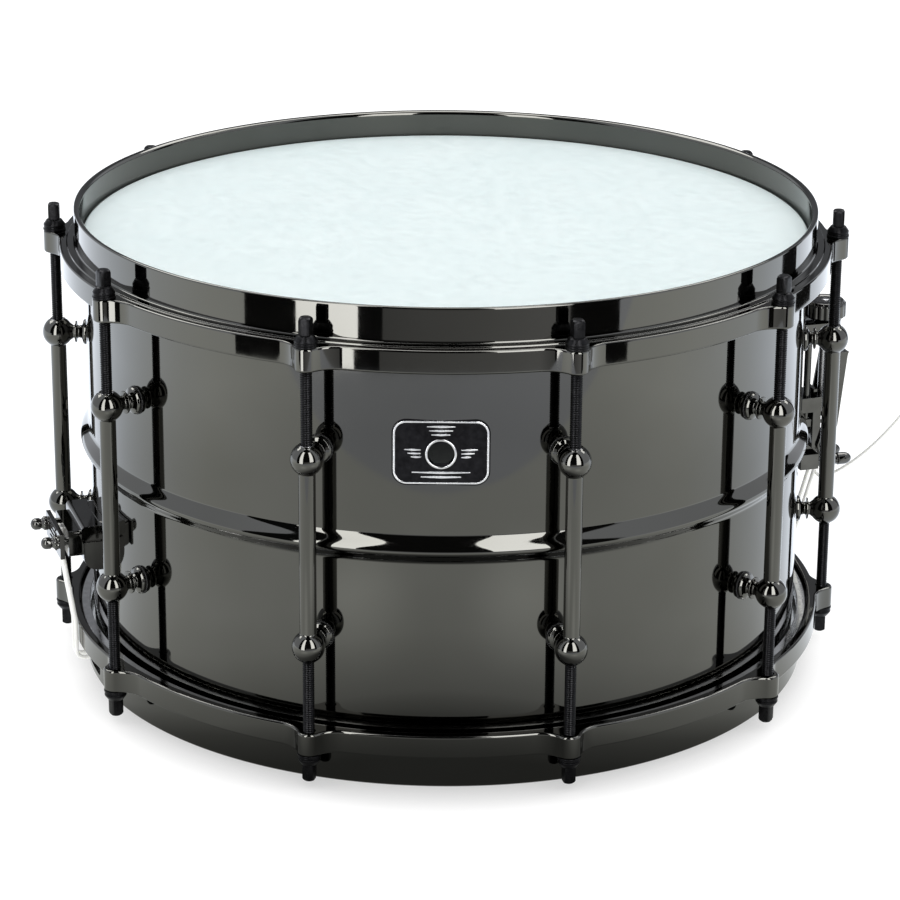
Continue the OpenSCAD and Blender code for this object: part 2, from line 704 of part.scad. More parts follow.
// A curved plate on the shell with a shallow head at the top, a bowl below it and the clamp
// block, a little narrower, standing out between them
module butt_body() color(metal) in_butt() difference() {
    union() {
        curved_plate(seat_x, seat_x + butt_plate_t) butt_outline();
        butt_lump(butt_head_low, butt_head_top, butt_head_w, butt_head_x, butt_head_r);
        butt_lump(butt_bowl_low, butt_bowl_top, butt_bowl_w, butt_bowl_x, butt_bowl_r);
        butt_clamp_block();
    }
    for (y = [-butt_screw_y, butt_screw_y])
        rod_x(186, butt_x + 1, fitting_screw_r + 0.05, y = y, z = butt_screw_z);
    for (z = butt_bracket_screw_z)
        rod_x(seat_x - 1, seat_x + 4.6, fitting_screw_r + eps, z = z);
}

module butt_clamp_plate() color(metal) in_butt() difference() {
    clamp_plate(butt_x + clamp_gap, butt_w / 2, -45.5, -33, 2.2, 5, 7);
    for (y = [-butt_screw_y, butt_screw_y])
        rod_x(butt_x, butt_x + 10, fitting_screw_r + 0.3, y = y, z = butt_screw_z);
}

module butt_clamp_screw(side) color(metal) in_butt()
    translate([0, side * butt_screw_y, butt_screw_z])
        thumb_screw(187, butt_x + clamp_gap + 2.3, 8.5, 2.9);

// ---- snares ----

// The outline of a ribbon of width w along a path in a plane
function direction(p, i) = let (a = p[max(i - 1, 0)], b = p[min(i + 1, len(p) - 1)])
    (b - a) / norm(b - a);
function side_line(p, w) =
    [for (i = [0 : len(p) - 1]) let (d = direction(p, i)) p[i] + w / 2 * [-d[1], d[0]]];
function ribbon(p, w) = concat(side_line(p, w), reversed(side_line(p, -w)));

// Down from a clamp, outside the skirt, round under it and inwards to the gate
function cord_path(clamp, top_z) = concat(
    [[clamp, top_z], [clamp, -46]],
    [[cord_x, -84]],
    arc([cord_x - cord_turn_r, cord_turn_r - cord_t], cord_turn_r, 0, -90, 8),
    [[rim_bore_r + 0.3, -cord_t]]);

module cord(path) for (y = [-cord_y, cord_y])
    plate_xz(ribbon(path, cord_w), y - cord_w / 2, y + cord_w / 2);

// The free end of the strainer's cord dips under the clamp and rises away from the drum,
// in an upright plane turned towards the badge so that the lever swings clear of it
tail_turn = -40;
tail_bow_r = 4.5;
tail_z = -44.5;
tail_run = 39;
tail_steps = 8;
tail_foot = [tail_bow_r * 1.5, tail_z - tail_bow_r * sin(60)];

function tail_path() = concat(
    arc([tail_bow_r, tail_z], tail_bow_r, 180, 300, 8),
    [for (i = [1 : tail_steps]) let (s = tail_run * i / tail_steps)
        tail_foot + [s, s * tan(30) + 0.0115 * s * s]]);

module snare_cord_strainer() color(nylon_white) in_strainer() {
    x = clamp_x + clamp_gap / 2;
    cord(cord_path(x, -35.5));
    translate([x, -cord_y, 0]) rotate([0, 0, tail_turn])
        plate_xz(ribbon(tail_path(), cord_w - 0.6), -0.8, 0.8);
}

module snare_cord_butt() color(nylon_white) in_butt()
    cord(cord_path(butt_x + clamp_gap / 2, -35));

strand_r = 0.85;
strand_z = edge + film_gap + film_h + 0.1 + strand_r;
end_plate_l = 14;
end_plate_h = 0.9;
plate_x = strand_length / 2 - end_plate_l / 2;

module snare_cord_inner() color(nylon_white) for (angle = [strainer_angle, butt_angle])
    translate([0, 0, mid]) at_bearing(angle) for (y = [-cord_y, cord_y])
        block([plate_x + end_plate_l + 0.2, y - cord_w / 2, -cord_t - cord_w / 2],
            [rim_bore_r, y + cord_w / 2, -cord_t + cord_w / 2]);

module snare_wires() color(steel) translate([0, 0, mid]) at_bearing(strainer_angle)
    for (i = [0 : strand_count - 1])
        rod_x(-strand_length / 2, strand_length / 2, strand_r,
            y = strand_pitch * (i - (strand_count - 1) / 2), z = -strand_z);

module snare_end_plates() color(steel) translate([0, 0, mid])
    for (angle = [strainer_angle, butt_angle]) at_bearing(angle) {
        w = strand_pitch * strand_count / 2 + 1.5;
        z = -strand_z - strand_r - 0.05;
        block([plate_x, -w, z - end_plate_h], [plate_x + end_plate_l, w, z]);
    }

// ---- what is drawn ----

shell();
badge();
vent_grommet();
head_film(1);  // batter_head_film
head_ring(1);  // batter_head_ring
head_film(-1);  // snare_head_film
head_ring(-1);  // snare_head_ring
batter_hoop();
snare_hoop();
lug_tubes();
lug_posts();
lug_gaskets();
lug_nuts();
lug_screws();
inner_washers();
rod_washers(1);  // batter_rod_washers
rod_washers(-1);  // snare_rod_washers
for (i = [1 : lug_count]) {
    tension_rod(1, i);
    tension_rod(-1, i);
}
strainer_base();
bracket_gaskets();
bracket_screws();
strainer_guide_pins();
strainer_carriage();
strainer_lever();
lever_pivot_pin();
lever_crank_pin();
strainer_slider();
strainer_clamp_plate();
strainer_clamp_screw(-1);  // strainer_clamp_screw_1
strainer_clamp_screw(1);  // strainer_clamp_screw_2
tension_knob();
tension_screw();
butt_body();
butt_clamp_plate();
butt_clamp_screw(-1);  // butt_clamp_screw_1
butt_clamp_screw(1);  // butt_clamp_screw_2
snare_wires();
snare_end_plates();
snare_cord_strainer();
snare_cord_butt();
snare_cord_inner();
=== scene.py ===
"""The looks of a ten-lug metal snare drum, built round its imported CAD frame.

Shapes are worked out in millimetres and turned into metres when they become Blender meshes.
A bearing is an angle round the drum: 0 faces the badge, and it grows counter-clockwise seen from above.
Heights called t are measured from the middle plane of the drum.
"""

import json
import math

import bmesh
import bpy
import numpy as np
from mathutils import Matrix, Quaternion, Vector


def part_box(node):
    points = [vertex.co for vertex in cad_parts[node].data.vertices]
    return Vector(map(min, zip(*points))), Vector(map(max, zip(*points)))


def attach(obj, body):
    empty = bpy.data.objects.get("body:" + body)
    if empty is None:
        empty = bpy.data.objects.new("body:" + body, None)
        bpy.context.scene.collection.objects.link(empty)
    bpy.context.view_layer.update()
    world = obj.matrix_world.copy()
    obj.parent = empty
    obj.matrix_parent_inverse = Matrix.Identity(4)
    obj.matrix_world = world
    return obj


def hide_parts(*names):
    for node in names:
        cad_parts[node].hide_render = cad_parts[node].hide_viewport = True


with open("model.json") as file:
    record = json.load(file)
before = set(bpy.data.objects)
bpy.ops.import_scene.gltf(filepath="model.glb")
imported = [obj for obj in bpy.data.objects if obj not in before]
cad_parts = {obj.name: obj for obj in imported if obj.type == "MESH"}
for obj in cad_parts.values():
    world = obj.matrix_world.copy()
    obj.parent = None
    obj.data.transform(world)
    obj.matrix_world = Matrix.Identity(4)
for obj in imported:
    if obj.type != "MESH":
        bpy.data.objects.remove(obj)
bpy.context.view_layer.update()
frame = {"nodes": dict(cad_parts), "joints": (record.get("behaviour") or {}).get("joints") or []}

# ---- sizes, in millimetres, read from the frame ----

MM = 0.001


def span(node):
    """Lowest and highest corner of a CAD node."""
    low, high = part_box(node)
    return np.array(low) / MM, np.array(high) / MM


def reach(node):
    """Farthest distance of a CAD node from the drum's axis."""
    points = np.array([v.co[:2] for v in frame["nodes"][node].data.vertices])
    return np.hypot(points[:, 0], points[:, 1]).max() / MM


def joint_place(name):
    """A joint's bearing in degrees, its distance from the drum's axis and its height."""
    joint = next(j for j in frame["joints"] if j["name"] == name)
    x, y, z = (value / MM for value in joint["pos_m"])
    return math.degrees(math.atan2(x, -y)), math.hypot(x, y), z


BEAD_RISE = 4.2
drum_h = span("batter_hoop")[1][2]
mid = drum_h / 2
edge = (span("shell")[1][2] - span("shell")[0][2]) / 2
shell_r = reach("shell") - BEAD_RISE
rod_circle_r = joint_place("batter_rod_1_turn")[1]
ear_r = reach("batter_hoop") - rod_circle_r
lug_bearings = [joint_place(f"batter_rod_{i}_turn")[0] for i in range(1, 11)]
strainer_bearing, screw_x, _ = joint_place("tension_knob_turn")
butt_bearing = strainer_bearing - 180
seat_x = shell_r + 0.45

# ---- shapes: points and faces in millimetres ----


class Shape:
    """Points, the faces that join them, and each face's material number."""

    def __init__(self, points, faces, material=0):
        self.points = np.asarray(points, float).reshape(-1, 3)
        self.faces = [tuple(face) for face in faces]
        self.materials = [material] * len(self.faces)

    def at(self, points):
        copy = Shape(points, self.faces)
        copy.materials = self.materials
        return copy

    def moved(self, x=0.0, y=0.0, z=0.0):
        return self.at(self.points + (x, y, z))

    def turned(self, degrees, axis="Z"):
        turn = np.array(Matrix.Rotation(math.radians(degrees), 3, axis))
        return self.at(self.points @ turn.T)

    def flipped(self):
        """The same shape for the resting side, below the middle plane."""
        return self.at(self.points * (1, 1, -1))

    def outwards(self):
        """Lays a shape made round the Z axis along the X axis."""
        return self.turned(90, "Y")

    def to_bearing(self, bearing):
        """Swings a shape drawn from the middle of the drum, +X outwards, to its bearing and height."""
        return self.turned(bearing - 90).moved(z=mid)


def merged(shapes):
    whole = Shape([], [])
    whole.points = np.concatenate([shape.points for shape in shapes])
    start = 0
    for shape in shapes:
        whole.faces += [tuple(start + corner for corner in face) for face in shape.faces]
        whole.materials += shape.materials
        start += len(shape.points)
    return whole


def loft(rings, loop=False, material=0):
    """Joins closed rings in order; loop joins the last to the first, and without it the ends are capped."""
    rings = np.asarray(rings, float)
    count, size = rings.shape[:2]
    faces = []
    for i in range(count if loop else count - 1):
        here, there = i * size, (i + 1) % count * size
        for j in range(size):
            k = (j + 1) % size
            faces.append((here + j, here + k, there + k, there + j))
    if not loop:
        faces.append(tuple(range(size)))
        faces.append(tuple(range((count - 1) * size, count * size)))
    return Shape(rings.reshape(-1, 3), faces, material)


def circle(steps):
    return np.linspace(0, 2 * math.pi, steps, endpoint=False)


def lathe_ring(outline, steps):
    """A closed outline of (radius, height) turned round the Z axis."""
    radius, height = np.array(outline, float).T
    rings = [np.stack([radius * math.cos(a), radius * math.sin(a), height], 1) for a in circle(steps)]
    return loft(rings, loop=True)


def lathe_solid(outline, steps, radius_at=lambda radius, height, angles: radius + 0 * angles):
    """An open outline of (radius, height) turned round the Z axis, with flat ends."""
    angles = circle(steps)
    rings = []
    for radius, height in outline:
        r = radius_at(radius, height, angles)
        rings.append(np.stack([r * np.cos(angles), r * np.sin(angles), 0 * r + height], 1))
    return loft(rings)


def arc(x, y, radius, start, end, steps=6):
    """Points on an arc; start and end are in degrees."""
    return [(x + radius * math.cos(a), y + radius * math.sin(a))
            for a in np.radians(np.linspace(start, end, steps + 1))]


def softened(corners, radius=0.3, steps=3, closed=True):
    """An outline with each corner rounded; a corner may give its own radius as a third number."""
    out = []
    last = len(corners) - 1
    for i, corner in enumerate(corners):
        here = np.array(corner[:2], float)
        r = corner[2] if len(corner) > 2 else radius
        if r == 0 or (not closed and i in (0, last)):
            out.append(tuple(here))
            continue
        back = np.array(corners[i - 1][:2], float) - here
        on = np.array(corners[(i + 1) % len(corners)][:2], float) - here
        room = 0.45 * min(np.linalg.norm(back), np.linalg.norm(on))
        back /= np.linalg.norm(back)
        on /= np.linalg.norm(on)
        half = math.acos(max(-1.0, min(1.0, float(back @ on)))) / 2
        cut = min(r / math.tan(half), room)
        r = cut * math.tan(half)
        centre = here + (back + on) / np.linalg.norm(back + on) * r / math.sin(half)
        first = here + back * cut - centre
        final = here + on * cut - centre
        for s in np.linspace(0, 1, steps + 1):
            spoke = first * (1 - s) + final * s
            out.append(tuple(centre + spoke / np.linalg.norm(spoke) * r))
    return out


def tube(path, radius, side, steps=12):
    """A round bar swept along a path that lies in the plane square to side."""
    path = np.asarray(path, float)
    side = np.asarray(side, float)
    along = np.gradient(path, axis=0)
    along /= np.linalg.norm(along, axis=1)[:, None]
    rings = []
    for point, way in zip(path, along):
        up = np.cross(way, side)
        rings.append([point + radius * (math.cos(a) * up + math.sin(a) * side) for a in circle(steps)])
    return loft(rings)


# ---- from shapes to pieces ----


def build_mesh(name, shape, sharp_degrees=35):
    """A Blender mesh in metres, with its faces turned outwards and smooth except at sharp edges."""
    mesh = bpy.data.meshes.new(name)
    mesh.from_pydata((shape.points * MM).tolist(), [], shape.faces)
    mesh.polygons.foreach_set("material_index", shape.materials)
    work = bmesh.new()
    work.from_mesh(mesh)
    bmesh.ops.recalc_face_normals(work, faces=work.faces)
    work.to_mesh(mesh)
    work.free()
    mesh.shade_smooth()
    mesh.set_sharp_from_angle(angle=math.radians(sharp_degrees))
    return mesh


def cut_away(mesh, cutter):
    """The mesh with a cutting shape taken out of it."""
    body = bpy.data.objects.new("cut_body", mesh)
    tool = bpy.data.objects.new("cut_tool", build_mesh("cut_tool", cutter))
    for obj in (body, tool):
        bpy.context.scene.collection.objects.link(obj)
    boolean = body.modifiers.new("Cut", "BOOLEAN")
    boolean.object = tool
    boolean.solver = "EXACT"
    depsgraph = bpy.context.evaluated_depsgraph_get()
    result = bpy.data.meshes.new_from_object(body.evaluated_get(depsgraph), depsgraph=depsgraph)
    for obj in (body, tool):
        bpy.data.objects.remove(obj)
    result.set_sharp_from_angle(angle=math.radians(35))
    return result


def settle(obj, materials, body, nodes):
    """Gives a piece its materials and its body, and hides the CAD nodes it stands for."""
    for material in materials:
        obj.data.materials.append(material)
    weighted = obj.modifiers.new("Weighted", "WEIGHTED_NORMAL")
    weighted.keep_sharp = True
    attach(obj, body)
    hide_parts(*nodes)
    return obj


def piece(name, shape, materials, nodes, body="drum", cutter=None):
    """One shown piece made from a shape."""
    mesh = build_mesh(name, shape)
    if cutter is not None:
        mesh = cut_away(mesh, cutter)
    obj = bpy.data.objects.new(name, mesh)
    bpy.context.scene.collection.objects.link(obj)
    return settle(obj, materials, body, nodes)


# ---- materials ----


class NodeTree:
    """Adds nodes to a tree and links them."""

    def __init__(self, tree):
        self.tree = tree

    def add(self, kind, settings=None, **inputs):
        """A new node; inputs may be plain values or other nodes' outputs."""
        node = self.tree.nodes.new(kind)
        for key, value in (settings or {}).items():
            setattr(node, key, value)
        for key, value in inputs.items():
            self.give(node.inputs[key.replace("_", " ")], value)
        return node

    def give(self, socket, value):
        if isinstance(value, bpy.types.NodeSocket):
            self.tree.links.new(value, socket)
        else:
            socket.default_value = value

    def reckon(self, kind, operation, *values):
        """The result of a Math or VectorMath node whose inputs are given in order."""
        node = self.add(f"ShaderNode{kind}", {"operation": operation})
        for socket, value in zip(node.inputs, values):
            self.give(socket, value)
        return node.outputs["Value" if operation == "DISTANCE" else 0]

    def part(self, vector, letter):
        """The X, Y or Z of a vector."""
        return self.add("ShaderNodeSeparateXYZ", Vector=vector).outputs[letter]

    def mapped(self, value, from_low, from_high, to_low, to_high, easing="LINEAR"):
        """Carries one range of values onto another."""
        node = self.add("ShaderNodeMapRange", {"interpolation_type": easing}, Value=value)
        levels = {"From Min": from_low, "From Max": from_high, "To Min": to_low, "To Max": to_high}
        for key, level in levels.items():
            self.give(node.inputs[key], level)
        return node.outputs["Result"]


class Recipe(NodeTree):
    """A material built from nodes, with texture coordinates in millimetres."""

    def __init__(self, name):
        self.material = bpy.data.materials.new(name)
        self.material.use_nodes = True
        super().__init__(self.material.node_tree)
        self.shader = self.tree.nodes["Principled BSDF"]
        coordinates = self.add("ShaderNodeTexCoord").outputs["Object"]
        scale = self.add("ShaderNodeVectorMath", {"operation": "SCALE"}, Vector=coordinates, Scale=1 / MM)
        self.millimetres = scale.outputs[0]

    def noise(self, size, detail=2.0):
        """Noise whose features are about size millimetres wide."""
        node = self.add("ShaderNodeTexNoise", Vector=self.millimetres, Scale=1 / size, Detail=detail)
        return node.outputs["Fac"]

    def ramp(self, factor, *stops):
        """A colour ramp; each stop is (place, colour)."""
        node = self.add("ShaderNodeValToRGB", Fac=factor)
        elements = node.color_ramp.elements
        while len(elements) < len(stops):
            elements.new(0.5)
        for element, (place, colour) in zip(elements, stops):
            element.position = place
            element.color = (*colour, 1)
        return node.outputs["Color"]

    def between(self, factor, low, high):
        """Stretches noise onto a range of values."""
        return self.mapped(factor, 0.3, 0.7, low, high)

    def bump(self, height, depth, below=None):
        """A bump whose height is depth millimetres for a full swing of its input."""
        node = self.add("ShaderNodeBump", Height=height, Distance=depth * MM, Strength=1.0)
        if below is not None:
            self.give(node.inputs["Normal"], below)
        return node.outputs["Normal"]

    def finish(self, **inputs):
        for key, value in inputs.items():
            self.give(self.shader.inputs[key.replace("_", " ")], value)
        return self.material


def black_nickel():
    """Mirror-bright dark plating: a faint long wave, a finer ripple and slight changes of polish."""
    r = Recipe("black_nickel")
    cloud = r.noise(60)
    wave = r.bump(r.noise(45, detail=1), 0.05)
    ripple = r.bump(r.noise(5, detail=3), 0.0012, wave)
    return r.finish(
        Base_Color=r.ramp(cloud, (0.3, (0.098, 0.097, 0.089)), (0.7, (0.108, 0.107, 0.100))),
        Metallic=1.0,
        Roughness=r.between(r.noise(12, detail=4), 0.03, 0.06),
        Normal=ripple)


def black_casting():
    """The same plating on small castings, with softer corners and a finer ripple."""
    r = Recipe("black_nickel_casting")
    ripple = r.bump(r.noise(1.6, detail=3), 0.003)
    return r.finish(
        Base_Color=r.ramp(r.noise(9), (0.3, (0.080, 0.079, 0.075)), (0.7, (0.108, 0.107, 0.102))),
        Metallic=1.0,
        Roughness=r.between(r.noise(3, detail=4), 0.04, 0.09),
        Normal=ripple)


def satin_black():
    """Black-plated steel of the rods and washers, rubbed a little brighter in places."""
    r = Recipe("satin_black_steel")
    grain = r.bump(r.noise(0.5, detail=3), 0.002)
    return r.finish(
        Base_Color=r.ramp(r.noise(2.5, detail=4),
                          (0.35, (0.009, 0.009, 0.010)), (0.75, (0.016, 0.016, 0.017))),
        Metallic=0.8,
        Specular_IOR_Level=0.2,
        Roughness=r.between(r.noise(1.2), 0.26, 0.38),
        Normal=grain)


def plated_steel(name, colour, size, depth=0.012, dullest=0.34):
    """Bright plated steel with a brushed grain of the given size and depth."""
    r = Recipe(name)
    dull = tuple(0.82 * value for value in colour)
    grain = r.bump(r.noise(size, detail=4), depth)
    return r.finish(
        Base_Color=r.ramp(r.noise(4, detail=4), (0.3, dull), (0.7, colour)),
        Metallic=1.0,
        Roughness=r.between(r.noise(size * 4), 0.5 * dullest, dullest),
        Normal=grain)


def coated_film():
    """The white sprayed coating of the playing head: a fine tooth over faint cloudy changes of thickness."""
    r = Recipe("coated_film")
    tooth = r.bump(r.noise(0.45, detail=3), 0.03)
    cloud = r.bump(r.noise(25, detail=2), 0.05, tooth)
    return r.finish(
        Base_Color=r.ramp(r.noise(38, detail=5), (0.3, (0.766, 0.880, 0.886)), (0.7, (0.804, 0.912, 0.916))),
        Roughness=r.between(r.noise(6, detail=4), 0.42, 0.6),
        Subsurface_Weight=0.1,
        Subsurface_Radius=(0.4 * MM, 0.5 * MM, 0.5 * MM),
        Subsurface_Scale=1.0,
        Normal=cloud)


def clear_film():
    """The thin hazy resting-side head."""
    r = Recipe("clear_film")
    ripple = r.bump(r.noise(30, detail=2), 0.08)
    return r.finish(
        Base_Color=r.ramp(r.noise(22, detail=3), (0.3, (0.80, 0.83, 0.84)), (0.7, (0.88, 0.90, 0.90))),
        Roughness=r.between(r.noise(9, detail=3), 0.12, 0.3),
        Alpha=r.between(r.noise(40), 0.30, 0.40),
        Normal=ripple)


def badge_enamel():
    """Glossy black enamel with a trace of orange peel."""
    r = Recipe("badge_enamel")
    peel = r.bump(r.noise(0.9, detail=2), 0.004)
    return r.finish(
        Base_Color=r.ramp(r.noise(3), (0.3, (0.006, 0.006, 0.007)), (0.7, (0.014, 0.014, 0.016))),
        Roughness=r.between(r.noise(1.5), 0.1, 0.2),
        Specular_IOR_Level=0.06,
        Normal=peel)


def gasket_rubber():
    """Soft matt black rubber."""
    r = Recipe("gasket_rubber")
    grain = r.bump(r.noise(0.3, detail=4), 0.05)
    return r.finish(
        Base_Color=r.ramp(r.noise(1.2, detail=4), (0.3, (0.012, 0.012, 0.012)), (0.7, (0.03, 0.03, 0.03))),
        Roughness=r.between(r.noise(1), 0.6, 0.85),
        Normal=grain)


def nylon_cord():
    """Translucent white nylon with a fine lengthwise twist, and a faint painted glow that lightens it."""
    r = Recipe("nylon_cord")
    twist = r.bump(r.noise(0.35, detail=2), 0.03)
    return r.finish(
        Base_Color=r.ramp(r.noise(5, detail=3), (0.3, (0.80, 0.81, 0.78)), (0.7, (0.9, 0.9, 0.87))),
        Roughness=r.between(r.noise(2), 0.28, 0.45),
        Subsurface_Weight=0.35,
        Subsurface_Radius=(1.2 * MM, 1.2 * MM, 1.1 * MM),
        Subsurface_Scale=1.0,
        # painted glow: a faint white emission that lightens the cord, which gives no light of its own
        Emission_Color=(1, 1, 0.97, 1),
        Emission_Strength=0.2,
        Normal=twist)


NICKEL = black_nickel()
CASTING = black_casting()
SATIN = satin_black()
BRIGHT = plated_steel("bright_nickel", (0.80, 0.80, 0.80), 0.8, 0.001, 0.2)
SILVER = plated_steel("badge_silver", (0.90, 0.90, 0.91), 0.8)
ZINC = plated_steel("zinc_steel", (0.42, 0.42, 0.43), 0.6, 0.004)
WIRE = plated_steel("wire_steel", (0.72, 0.72, 0.73), 0.2)
COATED = coated_film()
CLEAR = clear_film()
ENAMEL = badge_enamel()
RUBBER = gasket_rubber()
NYLON = nylon_cord()

# ---- shell ----

SHELL_WALL = 1.2
BEAD_HALF_H = 7.2
EDGE_ROLL_R = 1.4
VENT_T = 46.2
VENT_HOLE_R = 6.35
BADGE_T = 46.5
BADGE_W = 44
BADGE_H = 31
BADGE_CORNER_R = 6.6
AROUND = 360


def bead(t):
    """How far the bead stands out of the shell at height t: one smooth raised-cosine wave."""
    return BEAD_RISE * (1 + math.cos(math.pi * t / BEAD_HALF_H)) / 2 if abs(t) < BEAD_HALF_H else 0.0


def mirrored_outline(upper):
    return [(r, -t) for r, t in reversed(upper)]


def shell_outline():
    heights = np.linspace(-BEAD_HALF_H, BEAD_HALF_H, 41)
    inner_r = shell_r - SHELL_WALL
    hidden_rows = [(shell_r, BADGE_T + side * (BADGE_H / 2 - 1.5)) for side in (-1, 1)]
    roll = arc(shell_r - EDGE_ROLL_R, edge - EDGE_ROLL_R, EDGE_ROLL_R, 0, 90, 8)
    lip = softened([roll[-1], (shell_r - 2.2, edge - 0.25), (shell_r - 5.7, edge - 3.6),
                    (shell_r - 4.85, edge - 4.45), (shell_r - 2.1, edge - 1.8), (inner_r, edge - 2.6)],
                   0.3, closed=False)
    upper = roll + lip[1:]
    outside = [(shell_r + bead(t), t) for t in heights] + hidden_rows
    inside = [(inner_r + bead(t), t) for t in heights[::-1]]
    return outside + upper + inside + mirrored_outline(upper)


def vent_cutter():
    bar = lathe_solid([(VENT_HOLE_R, shell_r - 12), (VENT_HOLE_R, shell_r + 12)], 64)
    return bar.outwards().moved(z=VENT_T)


piece("shell_plate", lathe_ring(shell_outline(), AROUND).to_bearing(0), [NICKEL], ["shell"],
      cutter=vent_cutter().to_bearing(0))

# ---- badge and vent ----

PAD_X = shell_r + 0.05
BADGE_THICK = 0.6
RAISED = 0.16


def wrapped(flat, radius):
    """Bends flat points (sideways, height) round the drum at the given radius."""
    flat = np.asarray(flat, float)
    angle = flat[:, 0] / shell_r
    return np.stack([radius * np.cos(angle), radius * np.sin(angle), flat[:, 1]], 1)


def rounded_rectangle(w, h, r, steps=10):
    """Outline of a rounded rectangle round the origin."""
    x = w / 2 - r
    y = h / 2 - r
    return (arc(x, y, r, 0, 90, steps) + arc(-x, y, r, 90, 180, steps)
            + arc(-x, -y, r, 180, 270, steps) + arc(x, -y, r, 270, 360, steps))


def badge_plate():
    """The plate in rings from its rounded outline to the round vent, bevelled at its edge."""
    outline = np.array(rounded_rectangle(BADGE_W, BADGE_H, BADGE_CORNER_R))
    rim = np.array(rounded_rectangle(BADGE_W - 0.5, BADGE_H - 0.5, BADGE_CORNER_R - 0.25))
    angles = np.arctan2(rim[:, 1], rim[:, 0])
    hole = np.stack([VENT_HOLE_R * np.cos(angles), VENT_HOLE_R * np.sin(angles) + VENT_T - BADGE_T], 1)
    front = [wrapped(rim * (1 - s) + hole * s, PAD_X + BADGE_THICK) for s in np.linspace(0, 1, 16)]
    back = [wrapped(rim * (1 - s) + hole * s, PAD_X) for s in np.linspace(1, 0, 16)]
    side = [wrapped(outline, PAD_X), wrapped(outline, PAD_X + BADGE_THICK - 0.25)]
    return loft(front + back + side, loop=True)


def raised_line(outline, inner, foot=PAD_X + BADGE_THICK - 0.1):
    """A closed raised line between two outlines on the badge."""
    outline = np.asarray(outline, float)
    inner = np.asarray(inner, float)
    top = foot + 0.1 + RAISED
    shoulder = 0.12
    rings = [wrapped(outline, foot), wrapped(outline, top - 0.06),
             wrapped(outline * (1 - shoulder) + inner * shoulder, top),
             wrapped(outline * shoulder + inner * (1 - shoulder), top),
             wrapped(inner, top - 0.06), wrapped(inner, foot)]
    return loft(rings, loop=True, material=1)


def badge_border(inset, width):
    """A raised frame line that follows the badge's outline."""
    def line(distance):
        return rounded_rectangle(BADGE_W - 2 * distance, BADGE_H - 2 * distance, BADGE_CORNER_R - distance)
    return raised_line(line(inset), line(inset + width))


def raised_bar(x, y, length, width, taper=0.35):
    """A small raised lozenge bar, blunt at one end and tapered at the other."""
    half = width / 2
    corners = [(-length / 2, -half * taper), (0, -half), (length / 2, -half * taper),
               (length / 2, half * taper), (0, half), (-length / 2, half * taper)]
    outer = np.array(softened(corners, 0.2, 2)) + (x, y)
    inner = (outer - (x, y)) * (0.97, 0.8) + (x, y)
    foot = PAD_X + BADGE_THICK - 0.1
    rings = [wrapped(outer, foot), wrapped(outer, foot + 0.06 + RAISED), wrapped(inner, foot + 0.1 + RAISED)]
    return loft(rings, material=1)


def badge_ornament():
    """Plain bars: two wings of three beside the vent, a fan of three above it and a double rule below."""
    shapes = []
    vent_y = VENT_T - BADGE_T
    for side in (-1, 1):
        for row, length in enumerate((7.5, 6.0, 4.5)):
            shapes.append(raised_bar(side * (8.9 + length / 2), vent_y + 1.7 - 1.7 * row, length, 1.0))
    for i, length in enumerate((5.0, 7.0, 9.0)):
        shapes.append(raised_bar(0, vent_y + 8.9 + 1.9 * i, 3.5 + length, 1.1))
    for i, length in enumerate((26.0, 18.0)):
        shapes.append(raised_bar(0, -9.2 - 2.1 * i, length, 1.2, taper=0.4))
    return merged(shapes)


def badge():
    return merged([badge_plate(), badge_border(0.7, 0.8), badge_ornament()]).moved(z=BADGE_T).to_bearing(0)


def grommet():
    """An eyelet: rolled flange outside the badge, sleeve through the shell, lip inside."""
    face = PAD_X + BADGE_THICK
    outline = softened([
        (6, shell_r - 2.6), (7, shell_r - 2.6), (7, shell_r - 1.7), (6.3, shell_r - 1.7, 0.1),
        (6.3, face + 0.05, 0.05), (7.1, face + 0.05), (7.1, face + 0.9), (6, face + 0.9)], 0.35, 4)
    return lathe_ring(outline, 72).outwards().moved(z=VENT_T).to_bearing(0)


piece("badge_plate", badge(), [ENAMEL, SILVER], ["badge"])
piece("vent_eyelet", grommet(), [BRIGHT], ["vent_grommet"])

# ---- heads ----

FILM_H = 0.35
FILM_TUCK_R = shell_r + 2.85
RING_LOW_T = 88.9
SEAT_T = 95.3


def film_outline():
    """The film lies over the bearing edge, turns down beside it and ends in the ring's channel."""
    under = arc(shell_r - EDGE_ROLL_R, edge - EDGE_ROLL_R, EDGE_ROLL_R + 0.05, 90, 10, 8)
    over = arc(shell_r - EDGE_ROLL_R, edge - EDGE_ROLL_R, EDGE_ROLL_R + 0.05 + FILM_H, 90, 10, 8)
    rows = np.linspace(2.0, 172.0, 18)
    low = [(r, edge + 0.05) for r in rows]
    high = [(r, edge + 0.05 + FILM_H) for r in rows[::-1]]
    tuck = [(FILM_TUCK_R, SEAT_T + 0.1), (FILM_TUCK_R, RING_LOW_T + 3.3),
            (FILM_TUCK_R + FILM_H, RING_LOW_T + 3.3), (FILM_TUCK_R + FILM_H, SEAT_T + 0.1)]
    return low + under + tuck + over[::-1] + high


def head_film():
    """The turned film closed at its centre by a thin disc."""
    disc = lathe_solid([(2.0, edge + 0.05), (2.0, edge + 0.05 + FILM_H)], AROUND)
    return merged([lathe_ring(film_outline(), AROUND), disc])


def head_ring():
    outer = shell_r + 6.8
    top = SEAT_T - 0.02
    slot_in = FILM_TUCK_R - 0.05
    slot_out = FILM_TUCK_R + FILM_H + 0.05
    return lathe_ring(softened([
        (FILM_TUCK_R - 0.6, RING_LOW_T), (outer, RING_LOW_T, 0.8), (outer, top, 0.6), (slot_out, top),
        (slot_out, RING_LOW_T + 3.2, 0), (slot_in, RING_LOW_T + 3.2, 0), (slot_in, top),
        (FILM_TUCK_R - 0.6, top)], 0.2), AROUND)


